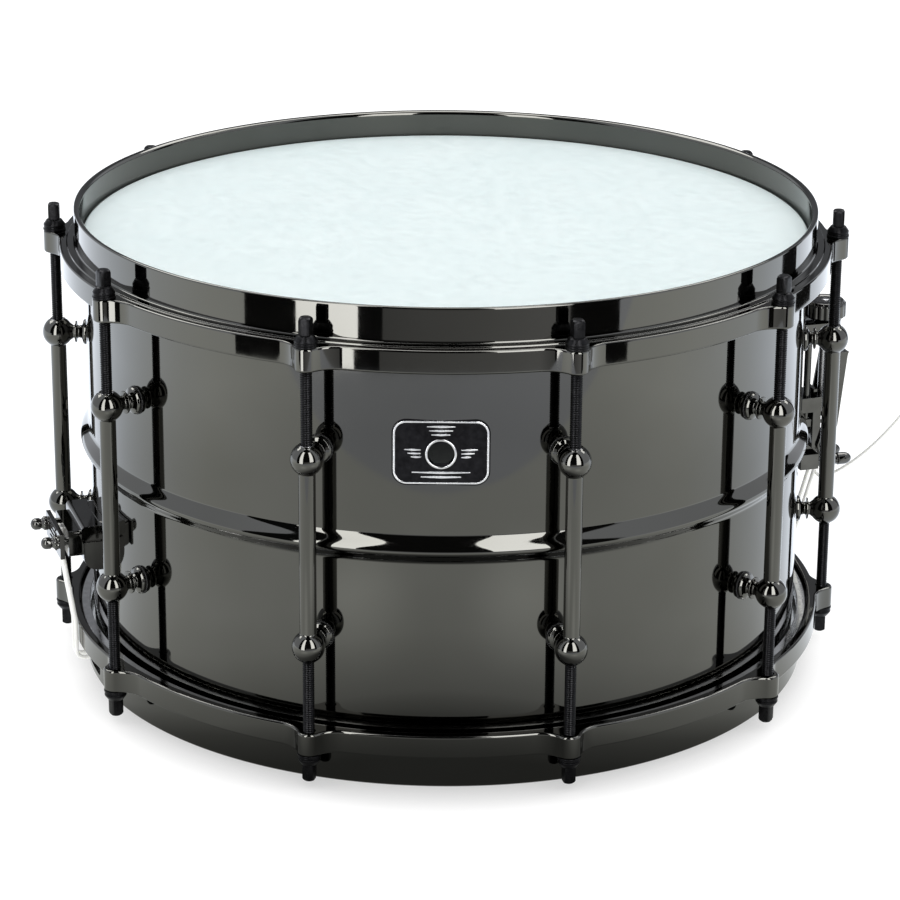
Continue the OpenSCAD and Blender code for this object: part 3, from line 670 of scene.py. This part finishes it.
piece("coated_head", head_film().moved(z=mid), [COATED], ["batter_head_film"])
piece("clear_head", head_film().flipped().moved(z=mid), [CLEAR], ["snare_head_film"])
piece("batter_flesh_ring", head_ring().moved(z=mid), [BRIGHT], ["batter_head_ring"])
piece("snare_flesh_ring", head_ring().flipped().moved(z=mid), [BRIGHT], ["snare_head_ring"])

# ---- hoops ----

RIM_R = 181.0
RIM_BORE_R = 177.9
SKIRT_R = 188.3
SKIRT_BORE_R = shell_r + 7.5
SKIRT_T = 86.5
SHOULDER_T = 97.6
EAR_FILLET_R = 14.0
ROD_HOLE_R = 3.15
SKIRT_EDGE_R = 1.2
GATE_HALF_W = 12.0


def ear_angles():
    """Where the ear's fillets meet the skirt and the ear, from the cosine rule."""
    far = SKIRT_R + EAR_FILLET_R
    near = ear_r + EAR_FILLET_R
    fillet = math.acos((far ** 2 + rod_circle_r ** 2 - near ** 2) / (2 * far * rod_circle_r))
    centre = (far * math.cos(fillet), far * math.sin(fillet))
    touch = math.atan2(centre[1], centre[0] - rod_circle_r)
    return math.degrees(fillet), math.degrees(touch), centre


def sector_outline():
    """(x, y, normal x, normal y) along the outside of a hoop, from one ear's first fillet to the next ear."""
    fillet, touch, centre = ear_angles()
    def around(cx, cy, radius, start, end, steps, facing):
        points = arc(cx, cy, radius, start, end, steps)
        return [(x, y, facing * (x - cx) / radius, facing * (y - cy) / radius) for x, y in points]
    lower_fillet = around(centre[0], -centre[1], EAR_FILLET_R, 180 - fillet, 180 - touch, 14, -1)
    ear = around(rod_circle_r, 0, ear_r, -touch, touch, 24, 1)
    upper_fillet = around(centre[0], centre[1], EAR_FILLET_R, 180 + touch, 180 + fillet, 14, -1)
    skirt = around(0, 0, SKIRT_R, fillet, 36 - fillet, 34, 1)
    return lower_fillet + ear[1:] + upper_fillet[1:] + skirt[1:-1]


def hoop_rows():
    """The hoop's section: (radius, height, None) on a circle, or (None, height, inset) from the outline."""
    roll = RIM_R - 0.9 - RIM_BORE_R
    lip = arc(RIM_R - 0.9, mid - roll, roll, 90, 180, 12)
    wall = [(RIM_BORE_R, edge - 0.6, 0.5), (RIM_BORE_R + 2.4, SEAT_T, 0.3), (SKIRT_BORE_R, SEAT_T, 0.3),
            (SKIRT_BORE_R, SKIRT_T, 0.8)]
    inner = softened([lip[-1]] + wall + [(SKIRT_BORE_R + 1.4, SKIRT_T, 0)], 0.3, closed=False)
    low = [(SKIRT_EDGE_R - x, SKIRT_T + SKIRT_EDGE_R + y) for x, y in arc(0, 0, SKIRT_EDGE_R, 270, 360, 7)]
    high = [(1 - x, SHOULDER_T - 1 + y) for x, y in arc(0, 0, 1, 0, 90, 6)]
    step = softened([(RIM_R + 4.4, SHOULDER_T, 0), (RIM_R + 3.8, SHOULDER_T + 0.05),
                     (RIM_R + 3.5, SHOULDER_T + 0.7), (RIM_R + 0.9, SHOULDER_T + 0.9, 0)], 0.25, closed=False)
    hollow = arc(RIM_R + 0.9, SHOULDER_T + 1.8, 0.9, 270, 180, 5)
    outer = step + hollow + arc(RIM_R - 0.9, mid - 0.9, 0.9, 0, 90, 6)
    rows = [(r, t, None) for r, t in lip[:-1] + inner]
    rows += [(None, t, inset) for inset, t in low + high]
    rows += [(r, t, None) for r, t in outer[:-1]]
    return rows


def hoop():
    rows = hoop_rows()
    sector = sector_outline()
    rings = []
    for lug in range(len(lug_bearings)):
        for x, y, nx, ny in sector:
            angle = math.atan2(y, x)
            ring = []
            for radius, t, inset in rows:
                if inset is None:
                    ring.append((radius * math.cos(angle), radius * math.sin(angle), t))
                else:
                    ring.append((x - nx * inset, y - ny * inset, t))
            rings.append(Shape(ring, []).turned(lug_bearings[0] + 36 * lug - 90).points)
    return loft(rings, loop=True)


def rod_hole_cutters():
    hole = lathe_solid([(ROD_HOLE_R, SKIRT_T - 2), (ROD_HOLE_R, SHOULDER_T + 2)], 32).moved(x=rod_circle_r)
    return merged([hole.turned(bearing - 90) for bearing in lug_bearings])


def gate_cutters():
    """Rounded blocks that open the resting rim under the strainer and the butt."""
    outline = rounded_rectangle(2 * GATE_HALF_W, 11, 2.2, 5)
    block = loft([[(x, y, z) for y, z in outline] for x in (shell_r - 4, shell_r + 8)])
    return [block.moved(z=mid - 8.9).turned(bearing - 90) for bearing in (strainer_bearing, butt_bearing)]


piece("batter_rim", hoop().moved(z=mid), [NICKEL], ["batter_hoop"],
      cutter=rod_hole_cutters().moved(z=mid))
piece("snare_rim", hoop().flipped().moved(z=mid), [NICKEL], ["snare_hoop"],
      cutter=merged([rod_hole_cutters()] + gate_cutters()).flipped().moved(z=mid))

# ---- lugs ----

BALL_T = 45.0
BALL_R = 7.6
TUBE_R = 3.9
NUT_R = 3.42
NUT_LOW_T = 40.5
BORE_R = 3.05


def lug_tube():
    """Two balls joined by a tube, blended by a small fillet, bored through for the rods and their sleeves."""
    blend = 0.9
    lean = math.acos((TUBE_R + blend) / (BALL_R + blend))
    top = math.degrees(math.acos(NUT_R / BALL_R))
    foot_t = BALL_T - (BALL_R + blend) * math.sin(lean)
    fillet = arc(TUBE_R + blend, foot_t, blend, 180, 180 - math.degrees(lean), 5)
    ball = arc(0, BALL_T, BALL_R, -math.degrees(lean), top - 4, 26)
    rim = ball[-1]
    mouth = softened([rim, (NUT_R + 0.25, rim[1] + 0.3), (NUT_R, rim[1])], 0.1, 2, closed=False)
    upper = fillet + ball[1:] + mouth[1:]
    bore = [(NUT_R, NUT_LOW_T), (BORE_R, NUT_LOW_T), (BORE_R, -NUT_LOW_T), (NUT_R, -NUT_LOW_T)]
    return lathe_ring(upper + bore + mirrored_outline(upper), 48).moved(x=rod_circle_r)


def lug_post():
    """A turned post: flange, neck, ring and a cone whose end is hollowed to the ball."""
    turned_part = softened([
        (6.5, seat_x, 0.1), (6.5, seat_x + 1.3, 0.5), (5.9, seat_x + 2.1, 0.5), (3.5, seat_x + 3, 0.6),
        (3, seat_x + 4.4, 0.8), (3.4, seat_x + 5.1, 0.2), (5.4, seat_x + 5.3, 0.25),
        (5.4, seat_x + 6.1, 0.25), (3.4, seat_x + 6.4, 0.2), (3.2, seat_x + 7, 0.6),
        (4.35, seat_x + 9.0, 0)], 0.3, 4)[:-1]
    hollow = [(r, rod_circle_r - math.sqrt((BALL_R + 0.02) ** 2 - r ** 2)) for r in np.linspace(4.35, 0.6, 8)]
    start = [(0.6, seat_x)]
    return lathe_solid(start + turned_part + hollow, 40).outwards()


def at_lugs(shape):
    """A shape drawn at one lug, repeated at all of them."""
    return merged([shape.to_bearing(bearing) for bearing in lug_bearings])


both_posts = merged([lug_post().moved(z=side * BALL_T) for side in (-1, 1)])
piece("lug_bodies", at_lugs(lug_tube()), [NICKEL], ["lug_tubes"])
piece("lug_pedestals", at_lugs(both_posts), [NICKEL], ["lug_posts"])

# ---- tension rods ----

ROD_R = 2.75
THREAD_PITCH = 1.06
THREAD_DEPTH = 0.42
THREAD_FROM_T = 50.0
THREAD_TO_T = 92.0
COLLAR_T = 99.63
KEY_T = 102.7
ROD_TOP_T = 111.0
KEY_HALF_W = 2.7
WASHER_H = 0.95


def rod_radius(radius, height, angles):
    """Round with a fine thread below, square above."""
    if THREAD_FROM_T < height < THREAD_TO_T:
        turn = (height / THREAD_PITCH - angles / (2 * math.pi)) % 1
        return radius - THREAD_DEPTH * (1 - np.abs(2 * turn - 1))
    if height > KEY_T + 0.3:
        square = KEY_HALF_W / np.maximum(np.abs(np.cos(angles)), np.abs(np.sin(angles)))
        return np.minimum(square, radius)
    return radius + 0 * angles


def tension_rod():
    thread = [(ROD_R, t) for t in np.arange(THREAD_FROM_T, THREAD_TO_T, THREAD_PITCH / 5)]
    collar = softened([
        (ROD_R, COLLAR_T - 0.4, 0), (ROD_R, COLLAR_T, 0), (5.3, COLLAR_T, 0.15), (5.3, COLLAR_T + 0.9, 0.3),
        (3.75, KEY_T, 0.4), (3.0, KEY_T + 0.2, 0)], closed=False)
    key = [(3.0, KEY_T + 0.35), (3.4, KEY_T + 0.36), (3.6, KEY_T + 0.7), (3.6, ROD_TOP_T - 1.4),
           (3.1, ROD_TOP_T - 0.6), (2.4, ROD_TOP_T - 0.05), (2.1, ROD_TOP_T)]
    foot = [(ROD_R - 0.5, 38.0), (ROD_R, 39.0), (ROD_R, THREAD_FROM_T - 0.5)]
    return lathe_solid(foot + thread + [(ROD_R, THREAD_TO_T + 0.5)] + collar + key, 24, rod_radius)


def rod_washers():
    """A nylon washer below a metal one, with rounded rims."""
    shapes = []
    for i, radius in enumerate((5.5, 5.2)):
        low = SHOULDER_T + 0.02 + i * (WASHER_H + 0.02)
        bore = ROD_R + 0.3
        shapes.append(lathe_ring(softened([
            (bore, low), (radius, low), (radius, low + WASHER_H), (bore, low + WASHER_H)], 0.22), 40))
    return merged(shapes).moved(x=rod_circle_r)


def add_rods():
    rod = tension_rod()
    for side, hoop_name in ((1, "batter"), (-1, "snare")):
        turned_rod = rod if side > 0 else rod.flipped()
        mesh = build_mesh(f"{hoop_name}_rod_shape", turned_rod)
        mesh.materials.append(SATIN)
        for i, bearing in enumerate(lug_bearings, start=1):
            node = f"{hoop_name}_rod_{i}"
            obj = bpy.data.objects.new(f"{hoop_name}_tension_rod_{i}", mesh)
            bpy.context.scene.collection.objects.link(obj)
            foot = Shape([(rod_circle_r, 0, 0)], []).to_bearing(bearing).points[0]
            facing = Matrix.Rotation(math.radians(bearing), 4, "Z")
            obj.matrix_world = Matrix.Translation(Vector(foot) * MM) @ facing
            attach(obj, node)
            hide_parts(node)
        stack = rod_washers() if side > 0 else rod_washers().flipped()
        piece(f"{hoop_name}_washer_stacks", at_lugs(stack), [SATIN],
              [f"{hoop_name}_rod_washers"])


add_rods()

# ---- strainer knob and thumb screws ----

KNOB_R = 10.9
KNOB_LOW_T = 36.1
KNOB_H = 10.2
FLUTES = 20
SCREW_R = 2.0


def knurled(depth, count, low, high, sharpness=1.0):
    """A radius rule that cuts flutes between two heights and leaves the rest round."""
    def rule(radius, height, angles):
        if low <= height <= high:
            wave = (1 + np.cos(count * angles)) / 2
            return radius - depth * (1 - wave ** sharpness)
        return radius + 0 * angles
    return rule


def tension_knob():
    """A fluted knob with a rounded crown and a shallow dish on top, bored for its screw."""
    bore = SCREW_R + 0.02
    outline = softened([
        (4.5, 0, 0.2), (5, 0.6, 0.3), (KNOB_R - 1.2, 0.9, 0.3), (KNOB_R, 1.7, 0.4),
        (KNOB_R, KNOB_H - 1.9, 1.5), (KNOB_R - 1.6, KNOB_H - 0.3, 0.8), (KNOB_R - 4.5, KNOB_H, 0.4),
        (KNOB_R - 5.2, KNOB_H - 0.5, 0.3), (bore, KNOB_H - 0.5, 0), (bore, 0, 0)], 0.3, 4)
    steps = FLUTES * 12
    rule = knurled(0.55, FLUTES, 1.0, KNOB_H - 1.0, 0.6)
    rings = []
    for angle in circle(steps):
        ring = []
        for r, z in outline:
            cut = float(rule(r, z, np.array([angle]))[0]) if r > KNOB_R - 1.4 else r
            ring.append((cut * math.cos(angle), cut * math.sin(angle), z))
        rings.append(ring)
    return loft(rings, loop=True).moved(x=screw_x, z=KNOB_LOW_T)


def thumb_screw(tip_x, seat, length, head_r):
    """Shank, knurled ring, waist and domed end, pointing outwards."""
    end = seat + length
    knurl_end = seat + length * 0.27
    outline = softened([
        (SCREW_R - 0.5, tip_x, 0), (SCREW_R, tip_x + 0.6, 0.1), (SCREW_R, seat, 0), (head_r + 0.3, seat, 0.1),
        (head_r + 0.5, seat + 0.3, 0.1), (head_r + 0.5, knurl_end - 0.4, 0.1), (head_r + 0.2, knurl_end, 0.1),
        (head_r - 0.5, seat + length * 0.36, 0.3), (head_r - 0.5, seat + length * 0.43, 0.3),
        (head_r, seat + length * 0.48, 0.2), (head_r, end - length * 0.3, 0.1)], 0.2, 3, closed=False)
    dome = [(r * head_r, end - length * 0.3 * (1 - h)) for r, h in arc(0, 0, 1, 8, 84, 8)]
    rule = knurled(0.3, 18, seat + 0.2, knurl_end - 0.3)
    return lathe_solid(outline + dome, 72, rule).outwards()


def add_thumb_screws(fitting, bearing, tip_x, seat, length, head_r, half_gap, height):
    """The two thumb screws of a clamp, each on its own body."""
    screw = thumb_screw(tip_x, seat, length, head_r)
    for number, side in ((1, -1), (2, 1)):
        placed = screw.moved(y=side * half_gap, z=height).to_bearing(bearing)
        piece(f"{fitting}_thumb_screw_{number}", placed, [CASTING],
              [f"{fitting}_clamp_screw_{number}"], f"{fitting}_thumb_{number}")


CLAMP_X = 200.0
CLAMP_GAP = 2.3
BUTT_X = 194.8

piece("fluted_knob", tension_knob().to_bearing(strainer_bearing), [CASTING],
      ["tension_knob"], "tension_knob")
add_thumb_screws("strainer", strainer_bearing, tip_x=192.5, seat=CLAMP_X + CLAMP_GAP + 2.6,
                 length=15, head_r=3.2, half_gap=7, height=-39.5)
add_thumb_screws("butt", butt_bearing, tip_x=187, seat=BUTT_X + CLAMP_GAP + 2.3,
                 length=8.5, head_r=2.9, half_gap=13.5, height=-38)

# ---- snares and cords ----

CORD_R = 1.05
CORD_Y = 3.0
CORD_X = 190.2
CORD_T = 104.2
CORD_TURN_R = 4.0
STRAND_COUNT = 20
STRAND_PITCH = 2.1
STRAND_LENGTH = 316
STRAND_R = 0.85
COIL_PITCH = 2.2


def cord_path(clamp_x, top_t):
    """Down from a clamp outside the skirt, round under it and inwards to the gate; its first bend is rounded
    and it turns under the skirt on an arc.
    """
    corners = [(clamp_x, top_t), (clamp_x, -46), (CORD_X, -84)]
    corners += arc(CORD_X - CORD_TURN_R, CORD_TURN_R - CORD_T, CORD_TURN_R, 0, -90, 8)
    corners += [(RIM_BORE_R + 0.3, -CORD_T)]
    rounded_path = softened(corners[:3], 6, 6, closed=False)[:-1] + corners[2:]
    return [(x, 0, t) for x, t in rounded_path]


def cords(clamp_x, top_t):
    cord = tube(cord_path(clamp_x, top_t), CORD_R, (0, 1, 0))
    return merged([cord.moved(y=side * CORD_Y) for side in (-1, 1)])


def cord_tail():
    """The free end: a small bow under the clamp, then a rising sweep, in a plane turned towards the badge."""
    bow_r = 4.5
    low = -44.5
    run = 39
    foot = (bow_r * 1.5, low - bow_r * math.sin(math.radians(60)))
    path = arc(bow_r, low, bow_r, 180, 300, 10)
    for s in np.linspace(0, run, 16)[1:]:
        path.append((foot[0] + s, foot[1] + s * math.tan(math.radians(30)) + 0.0115 * s * s))
    tail = tube([(x, 0, t) for x, t in path], 0.8, (0, 1, 0))
    return tail.turned(-40).moved(x=CLAMP_X + CLAMP_GAP / 2, y=-CORD_Y)


def coiled_strand(y):
    """A close spiral of wire, as a tube whose skin rises and falls with the coil."""
    sample = COIL_PITCH / 4
    places = np.arange(-STRAND_LENGTH / 2, STRAND_LENGTH / 2, sample)
    outline = [(STRAND_R, x) for x in places]
    def rule(radius, height, angles):
        turn = (height / COIL_PITCH - angles / (2 * math.pi)) % 1
        return radius - 0.3 * np.abs(2 * turn - 1)
    return lathe_solid(outline, 6, rule).outwards().moved(y=y)


def snare_bed():
    t = -(edge + 0.05 + FILM_H + 0.1 + STRAND_R)
    first = -(STRAND_COUNT - 1) / 2
    strands = [coiled_strand(STRAND_PITCH * (first + i)) for i in range(STRAND_COUNT)]
    return merged(strands).moved(z=t).to_bearing(strainer_bearing)


strainer_cords = merged([cords(CLAMP_X + CLAMP_GAP / 2, -35.5), cord_tail()]).to_bearing(strainer_bearing)
butt_cords = cords(BUTT_X + CLAMP_GAP / 2, -35).to_bearing(butt_bearing)
piece("strainer_cords", strainer_cords, [NYLON], ["snare_cord_strainer"], "slider")
piece("butt_cords", butt_cords, [NYLON], ["snare_cord_butt"])
piece("snare_strands", snare_bed(), [WIRE], ["snare_wires"], "snares")

# ---- CAD pieces shown as they are, with their edges softened ----


def soften_node(node, material, bevel):
    """A small CAD piece keeps its mesh; modifiers join its facets and round its edges."""
    obj = frame["nodes"][node]
    obj.data.materials.clear()
    obj.data.materials.append(material)
    obj.data.shade_smooth()
    weld = obj.modifiers.new("Weld", "WELD")
    weld.merge_threshold = 0.002 * MM
    flat = obj.modifiers.new("Flat", "DECIMATE")
    flat.decimate_type = "DISSOLVE"
    flat.angle_limit = math.radians(0.4)
    if bevel > 0:
        rounding = obj.modifiers.new("Rounding", "BEVEL")
        rounding.width = bevel * MM
        rounding.segments = 2
        rounding.limit_method = "ANGLE"
        rounding.angle_limit = math.radians(35)
        rounding.harden_normals = False
    weighted = obj.modifiers.new("Weighted", "WEIGHTED_NORMAL")
    weighted.keep_sharp = True


CARRIED = {
    "strainer_base": (CASTING, "black_nickel", 0.4),
    "strainer_carriage": (CASTING, "black_nickel", 0.3),
    "strainer_lever": (CASTING, "black_nickel", 0.3),
    "strainer_slider": (CASTING, "black_nickel", 0.25),
    "strainer_clamp_plate": (CASTING, "black_nickel", 0.2),
    "butt_body": (CASTING, "black_nickel", 0.4),
    "butt_clamp_plate": (CASTING, "black_nickel", 0.2),
    "lever_pivot_pin": (ZINC, "zinc_steel", 0.15),
    "lever_crank_pin": (ZINC, "zinc_steel", 0.1),
    "strainer_guide_pins": (CASTING, "black_nickel", 0.1),
    "tension_screw": (ZINC, "zinc_steel", 0.1),
    "bracket_screws": (ZINC, "zinc_steel", 0.1),
    "lug_screws": (ZINC, "zinc_steel", 0.1),
    "lug_nuts": (ZINC, "zinc_steel", 0.0),
    "inner_washers": (ZINC, "zinc_steel", 0.15),
    "snare_end_plates": (ZINC, "zinc_steel", 0.2),
    "snare_cord_inner": (NYLON, "nylon_cord", 0.6),
    "lug_gaskets": (RUBBER, "gasket_rubber", 0.05),
    "bracket_gaskets": (RUBBER, "gasket_rubber", 0.05),
}
for node_name, (node_material, node_slot, node_bevel) in CARRIED.items():
    soften_node(node_name, node_material, node_bevel)

# ---- floor, light and camera ----


def stage_mesh(name, points, faces, material):
    mesh = bpy.data.meshes.new(name)
    mesh.from_pydata(points, [], faces)
    mesh.materials.append(material)
    obj = bpy.data.objects.new(name, mesh)
    bpy.context.scene.collection.objects.link(obj)
    return obj


def floor_with_painted_shadow():
    """Matt white that glows more away from the drum, so that its shadow stays faint; the dimmer glow near the
    drum is a painted shadow round its foot; clear from below.
    """
    r = Recipe("studio_floor")
    away = r.reckon("VectorMath", "DISTANCE", r.millimetres, (0, -20, 0))
    from_below = r.add("ShaderNodeNewGeometry").outputs["Backfacing"]
    return r.finish(
        Base_Color=r.ramp(r.noise(400), (0.3, (0.46, 0.46, 0.46)), (0.7, (0.48, 0.48, 0.48))),
        Roughness=0.9,
        Specular_IOR_Level=0.0,
        Emission_Color=(1, 1, 1, 1),
        # painted shadow: the glow drops towards the drum, darkening the floor round its foot
        Emission_Strength=r.mapped(away, 164, 202, 0.47, 0.83, "SMOOTHSTEP"),
        Alpha=r.mapped(from_below, 0, 1, 1, 0))


def glowing(name, strength=1.0):
    """The recipe of an emitting material, and its emission node."""
    r = Recipe(name)
    r.tree.nodes.remove(r.shader)
    glow = r.add("ShaderNodeEmission", Strength=strength)
    r.give(r.tree.nodes["Material Output"].inputs["Surface"], glow.outputs["Emission"])
    return r, glow


def only_in_reflections(obj):
    """Studio surfaces that the metal mirrors, but that the camera and soft light don't see."""
    obj.visible_camera = False
    obj.visible_diffuse = False
    obj.visible_shadow = False
    obj.visible_transmission = False
    obj.visible_volume_scatter = False


def polar(bearing, distance, height):
    """A point at a bearing round the drum, in metres."""
    angle = math.radians(bearing)
    return distance * math.sin(angle), -distance * math.cos(angle), height


PANEL_R = 0.70
PANEL_LOW = 0.026
PANEL_TOP = 1.2
FAR_PANEL_LOW = 0.015
COUNTER_TOP = 0.13
LATER_GLOW = 0.25


def curved_panel(name, start, end, low, high, strengths):
    """An upright panel round the drum whose glow changes along it; later reflections see it dimmed."""
    steps = 12
    bearings = np.linspace(start, end, steps + 1)
    points = [polar(b, PANEL_R, z) for b in bearings for z in (low, high)]
    faces = [(2 * i, 2 * i + 2, 2 * i + 3, 2 * i + 1) for i in range(steps)]
    r, glow = glowing(name)
    start_x = polar(start, PANEL_R, 0)[0] / MM
    end_x = polar(end, PANEL_R, 0)[0] / MM
    along = r.mapped(r.part(r.millimetres, "X"), start_x, end_x, *strengths)
    bounce = r.add("ShaderNodeLightPath").outputs["Glossy Depth"]
    dimming = r.mapped(bounce, 1, 2, 1.0, LATER_GLOW)
    r.give(glow.inputs["Strength"], r.reckon("Math", "MULTIPLY", dimming, along))
    only_in_reflections(stage_mesh(name, points, faces, r.material))


FLOOR_HALF = 6.0
SQUARE = [(-1, -1), (1, -1), (1, 1), (-1, 1)]
TABLE_EDGE_Y = -555.0
SHADOW_STOPS = ((130, 0.13), (155, 0.20), (170, 0.26), (189, 0.42), (200, 0.54),
                (240, 0.72), (275, 0.86), (340, 0.95), (600, 0.95), (800, 1.15))
SHADOW_SPAN = 800
SHADOW_CENTRE = (0, -80, 0)
POOL_X = 135
POOL_Y = -365
POOL_R = 120
POOL_GLOW = 0.38


def mirrored_floor():
    """The floor as the metal sees it: dim by the drum, brighter to the sides, cooler beyond the table."""
    r, glow = glowing("mirrored_floor")
    here = r.millimetres
    wide = r.reckon("VectorMath", "MULTIPLY", here, (1.25, 1, 1))
    near = r.mapped(r.reckon("VectorMath", "DISTANCE", wide, SHADOW_CENTRE), 0, SHADOW_SPAN, 0, 1)
    dim = r.ramp(near, *[(d / SHADOW_SPAN, (v, v, v)) for d, v in SHADOW_STOPS])
    backwards = r.part(r.reckon("VectorMath", "NORMALIZE", here), "Y")
    total = r.mapped(backwards, -1.0, 0.3, 1.0, 1.65)
    for x in (-POOL_X, POOL_X):
        away = r.reckon("VectorMath", "DISTANCE", here, (x, POOL_Y, 0))
        pool = r.mapped(away, 0, POOL_R, POOL_GLOW, 0.0, "SMOOTHSTEP")
        total = r.reckon("Math", "ADD", total, pool)
    on_table = r.mapped(r.part(here, "Y"), TABLE_EDGE_Y - 3, TABLE_EDGE_Y + 3, 0, 1)
    tint = r.ramp(on_table, (0.0, (0.84, 0.87, 0.95)), (1.0, (0.98, 1.0, 0.97)))
    cooler = r.ramp(r.mapped(backwards, -0.4, 0.3, 0, 1), (0.0, (1, 1, 1)), (1.0, (0.92, 0.96, 1.08)))
    tinted = r.reckon("VectorMath", "MULTIPLY", dim, tint)
    r.give(glow.inputs["Color"], r.reckon("VectorMath", "MULTIPLY", tinted, cooler))
    r.give(glow.inputs["Strength"], total)
    return r.material


def stage_square(name, half, height, material, centre=(0, 0)):
    points = [(centre[0] + x * half, centre[1] + y * half, height) for x, y in SQUARE]
    return stage_mesh(name, points, [(0, 1, 2, 3)], material)


CEILING = 1.9
SOFTBOX_GLOW = 6.0
DARK = (0.02, 0.02)
PANELS = (
    ("flag_left", -54, -38.8, PANEL_LOW, PANEL_TOP, DARK),
    ("window_left", -38.8, -22, PANEL_LOW, PANEL_TOP, (6.2, 6.6)),
    ("flag_middle", -22, -15.5, PANEL_LOW, PANEL_TOP, DARK),
    ("counter", -15.5, 33, PANEL_LOW, COUNTER_TOP, (0.30, 0.56)),
    ("flag_above_counter", -15.5, 13, COUNTER_TOP, PANEL_TOP, DARK),
    ("window_right", 13, 33, COUNTER_TOP, PANEL_TOP, (6.4, 6.4)),
    ("flag_right", 33, 47, PANEL_LOW, PANEL_TOP, DARK),
    ("flag_far_right", 111.5, 122, FAR_PANEL_LOW, PANEL_TOP, DARK))
SOFTBOXES = (("left", 0.8, (-1.3, 1.1)), ("right", 0.8, (1.3, 1.1)), ("middle", 0.5, (0, 0.3)))

stage_square("floor", FLOOR_HALF, 0, floor_with_painted_shadow())
only_in_reflections(stage_square("mirrored_floor", FLOOR_HALF, 0.6 * MM, mirrored_floor()))
for panel in PANELS:
    curved_panel(*panel)
for box, box_half, box_centre in SOFTBOXES:
    box_glow = glowing(f"softbox_{box}", SOFTBOX_GLOW)[0].material
    only_in_reflections(stage_square(f"softbox_{box}", box_half, CEILING, box_glow, box_centre))


def build_world():
    """White to the camera, soft light all round, and in reflections a room dark in front and behind."""
    world = bpy.data.worlds.new("studio")
    world.use_nodes = True
    w = NodeTree(world.node_tree)
    w.tree.nodes.clear()

    def background(colour, strength=1.0):
        return w.add("ShaderNodeBackground", Color=(*colour, 1), Strength=strength).outputs[0]

    def mixed(factor, first, second):
        node = w.add("ShaderNodeMixShader", Fac=factor)
        w.give(node.inputs[1], first)
        w.give(node.inputs[2], second)
        return node.outputs[0]

    direction = w.add("ShaderNodeTexCoord").outputs["Generated"]
    level = w.reckon("VectorMath", "MULTIPLY", direction, (1, 1, 0))
    backwards = w.part(w.reckon("VectorMath", "NORMALIZE", level), "Y")
    front = w.mapped(backwards, -0.62, -0.54, 0.015, 1.0, "SMOOTHSTEP")
    back = w.mapped(backwards, 0.80, 0.93, 1.0, 0.2, "SMOOTHSTEP")
    soft = background((1, 1, 1), w.mapped(w.part(direction, "Z"), 0.0, 1.0, 0.75, 1.0, "SMOOTHSTEP"))
    room = background((0.90, 0.93, 1.0), w.reckon("Math", "MULTIPLY", front, back))
    rays = w.add("ShaderNodeLightPath")
    inside = mixed(rays.outputs["Is Glossy Ray"], soft, room)
    shown = mixed(rays.outputs["Is Camera Ray"], inside, background((1, 1, 1)))
    w.add("ShaderNodeOutputWorld", Surface=shown)
    bpy.context.scene.world = world


def soft_box():
    """A large lamp over the drum; it isn't mirrored by the metal."""
    lamp = bpy.data.lights.new("overhead", "AREA")
    lamp.shape = "RECTANGLE"
    lamp.size = 2.2
    lamp.size_y = 1.6
    lamp.energy = 5
    obj = bpy.data.objects.new("overhead", lamp)
    obj.location = (0.0, 0.3, 1.9)
    obj.visible_glossy = False
    bpy.context.scene.collection.objects.link(obj)


build_world()
soft_box()
bpy.context.scene.view_settings.view_transform = "Standard"

CAMERA_DISTANCE = 1.61992
CAMERA_ELEVATION = 19.232
CAMERA_BEARING = 0.486
CAMERA_ROLL = 0.368
CAMERA_LENS = 129.58
CAMERA_SHIFT = (0.0060, -0.03275)


def add_camera():
    bearing = math.radians(CAMERA_BEARING)
    elevation = math.radians(CAMERA_ELEVATION)
    back = Vector((math.sin(bearing) * math.cos(elevation), -math.cos(bearing) * math.cos(elevation),
                   math.sin(elevation)))
    data = bpy.data.cameras.new("camera")
    data.lens = CAMERA_LENS
    data.sensor_width = 36
    data.shift_x, data.shift_y = CAMERA_SHIFT
    camera = bpy.data.objects.new("camera", data)
    camera.location = Vector((0, 0, mid * MM)) + back * CAMERA_DISTANCE
    camera.rotation_mode = "QUATERNION"
    roll = Quaternion((0, 0, 1), math.radians(CAMERA_ROLL))
    camera.rotation_quaternion = (-back).to_track_quat("-Z", "Y") @ roll
    bpy.context.scene.collection.objects.link(camera)
    bpy.context.scene.camera = camera


add_camera()
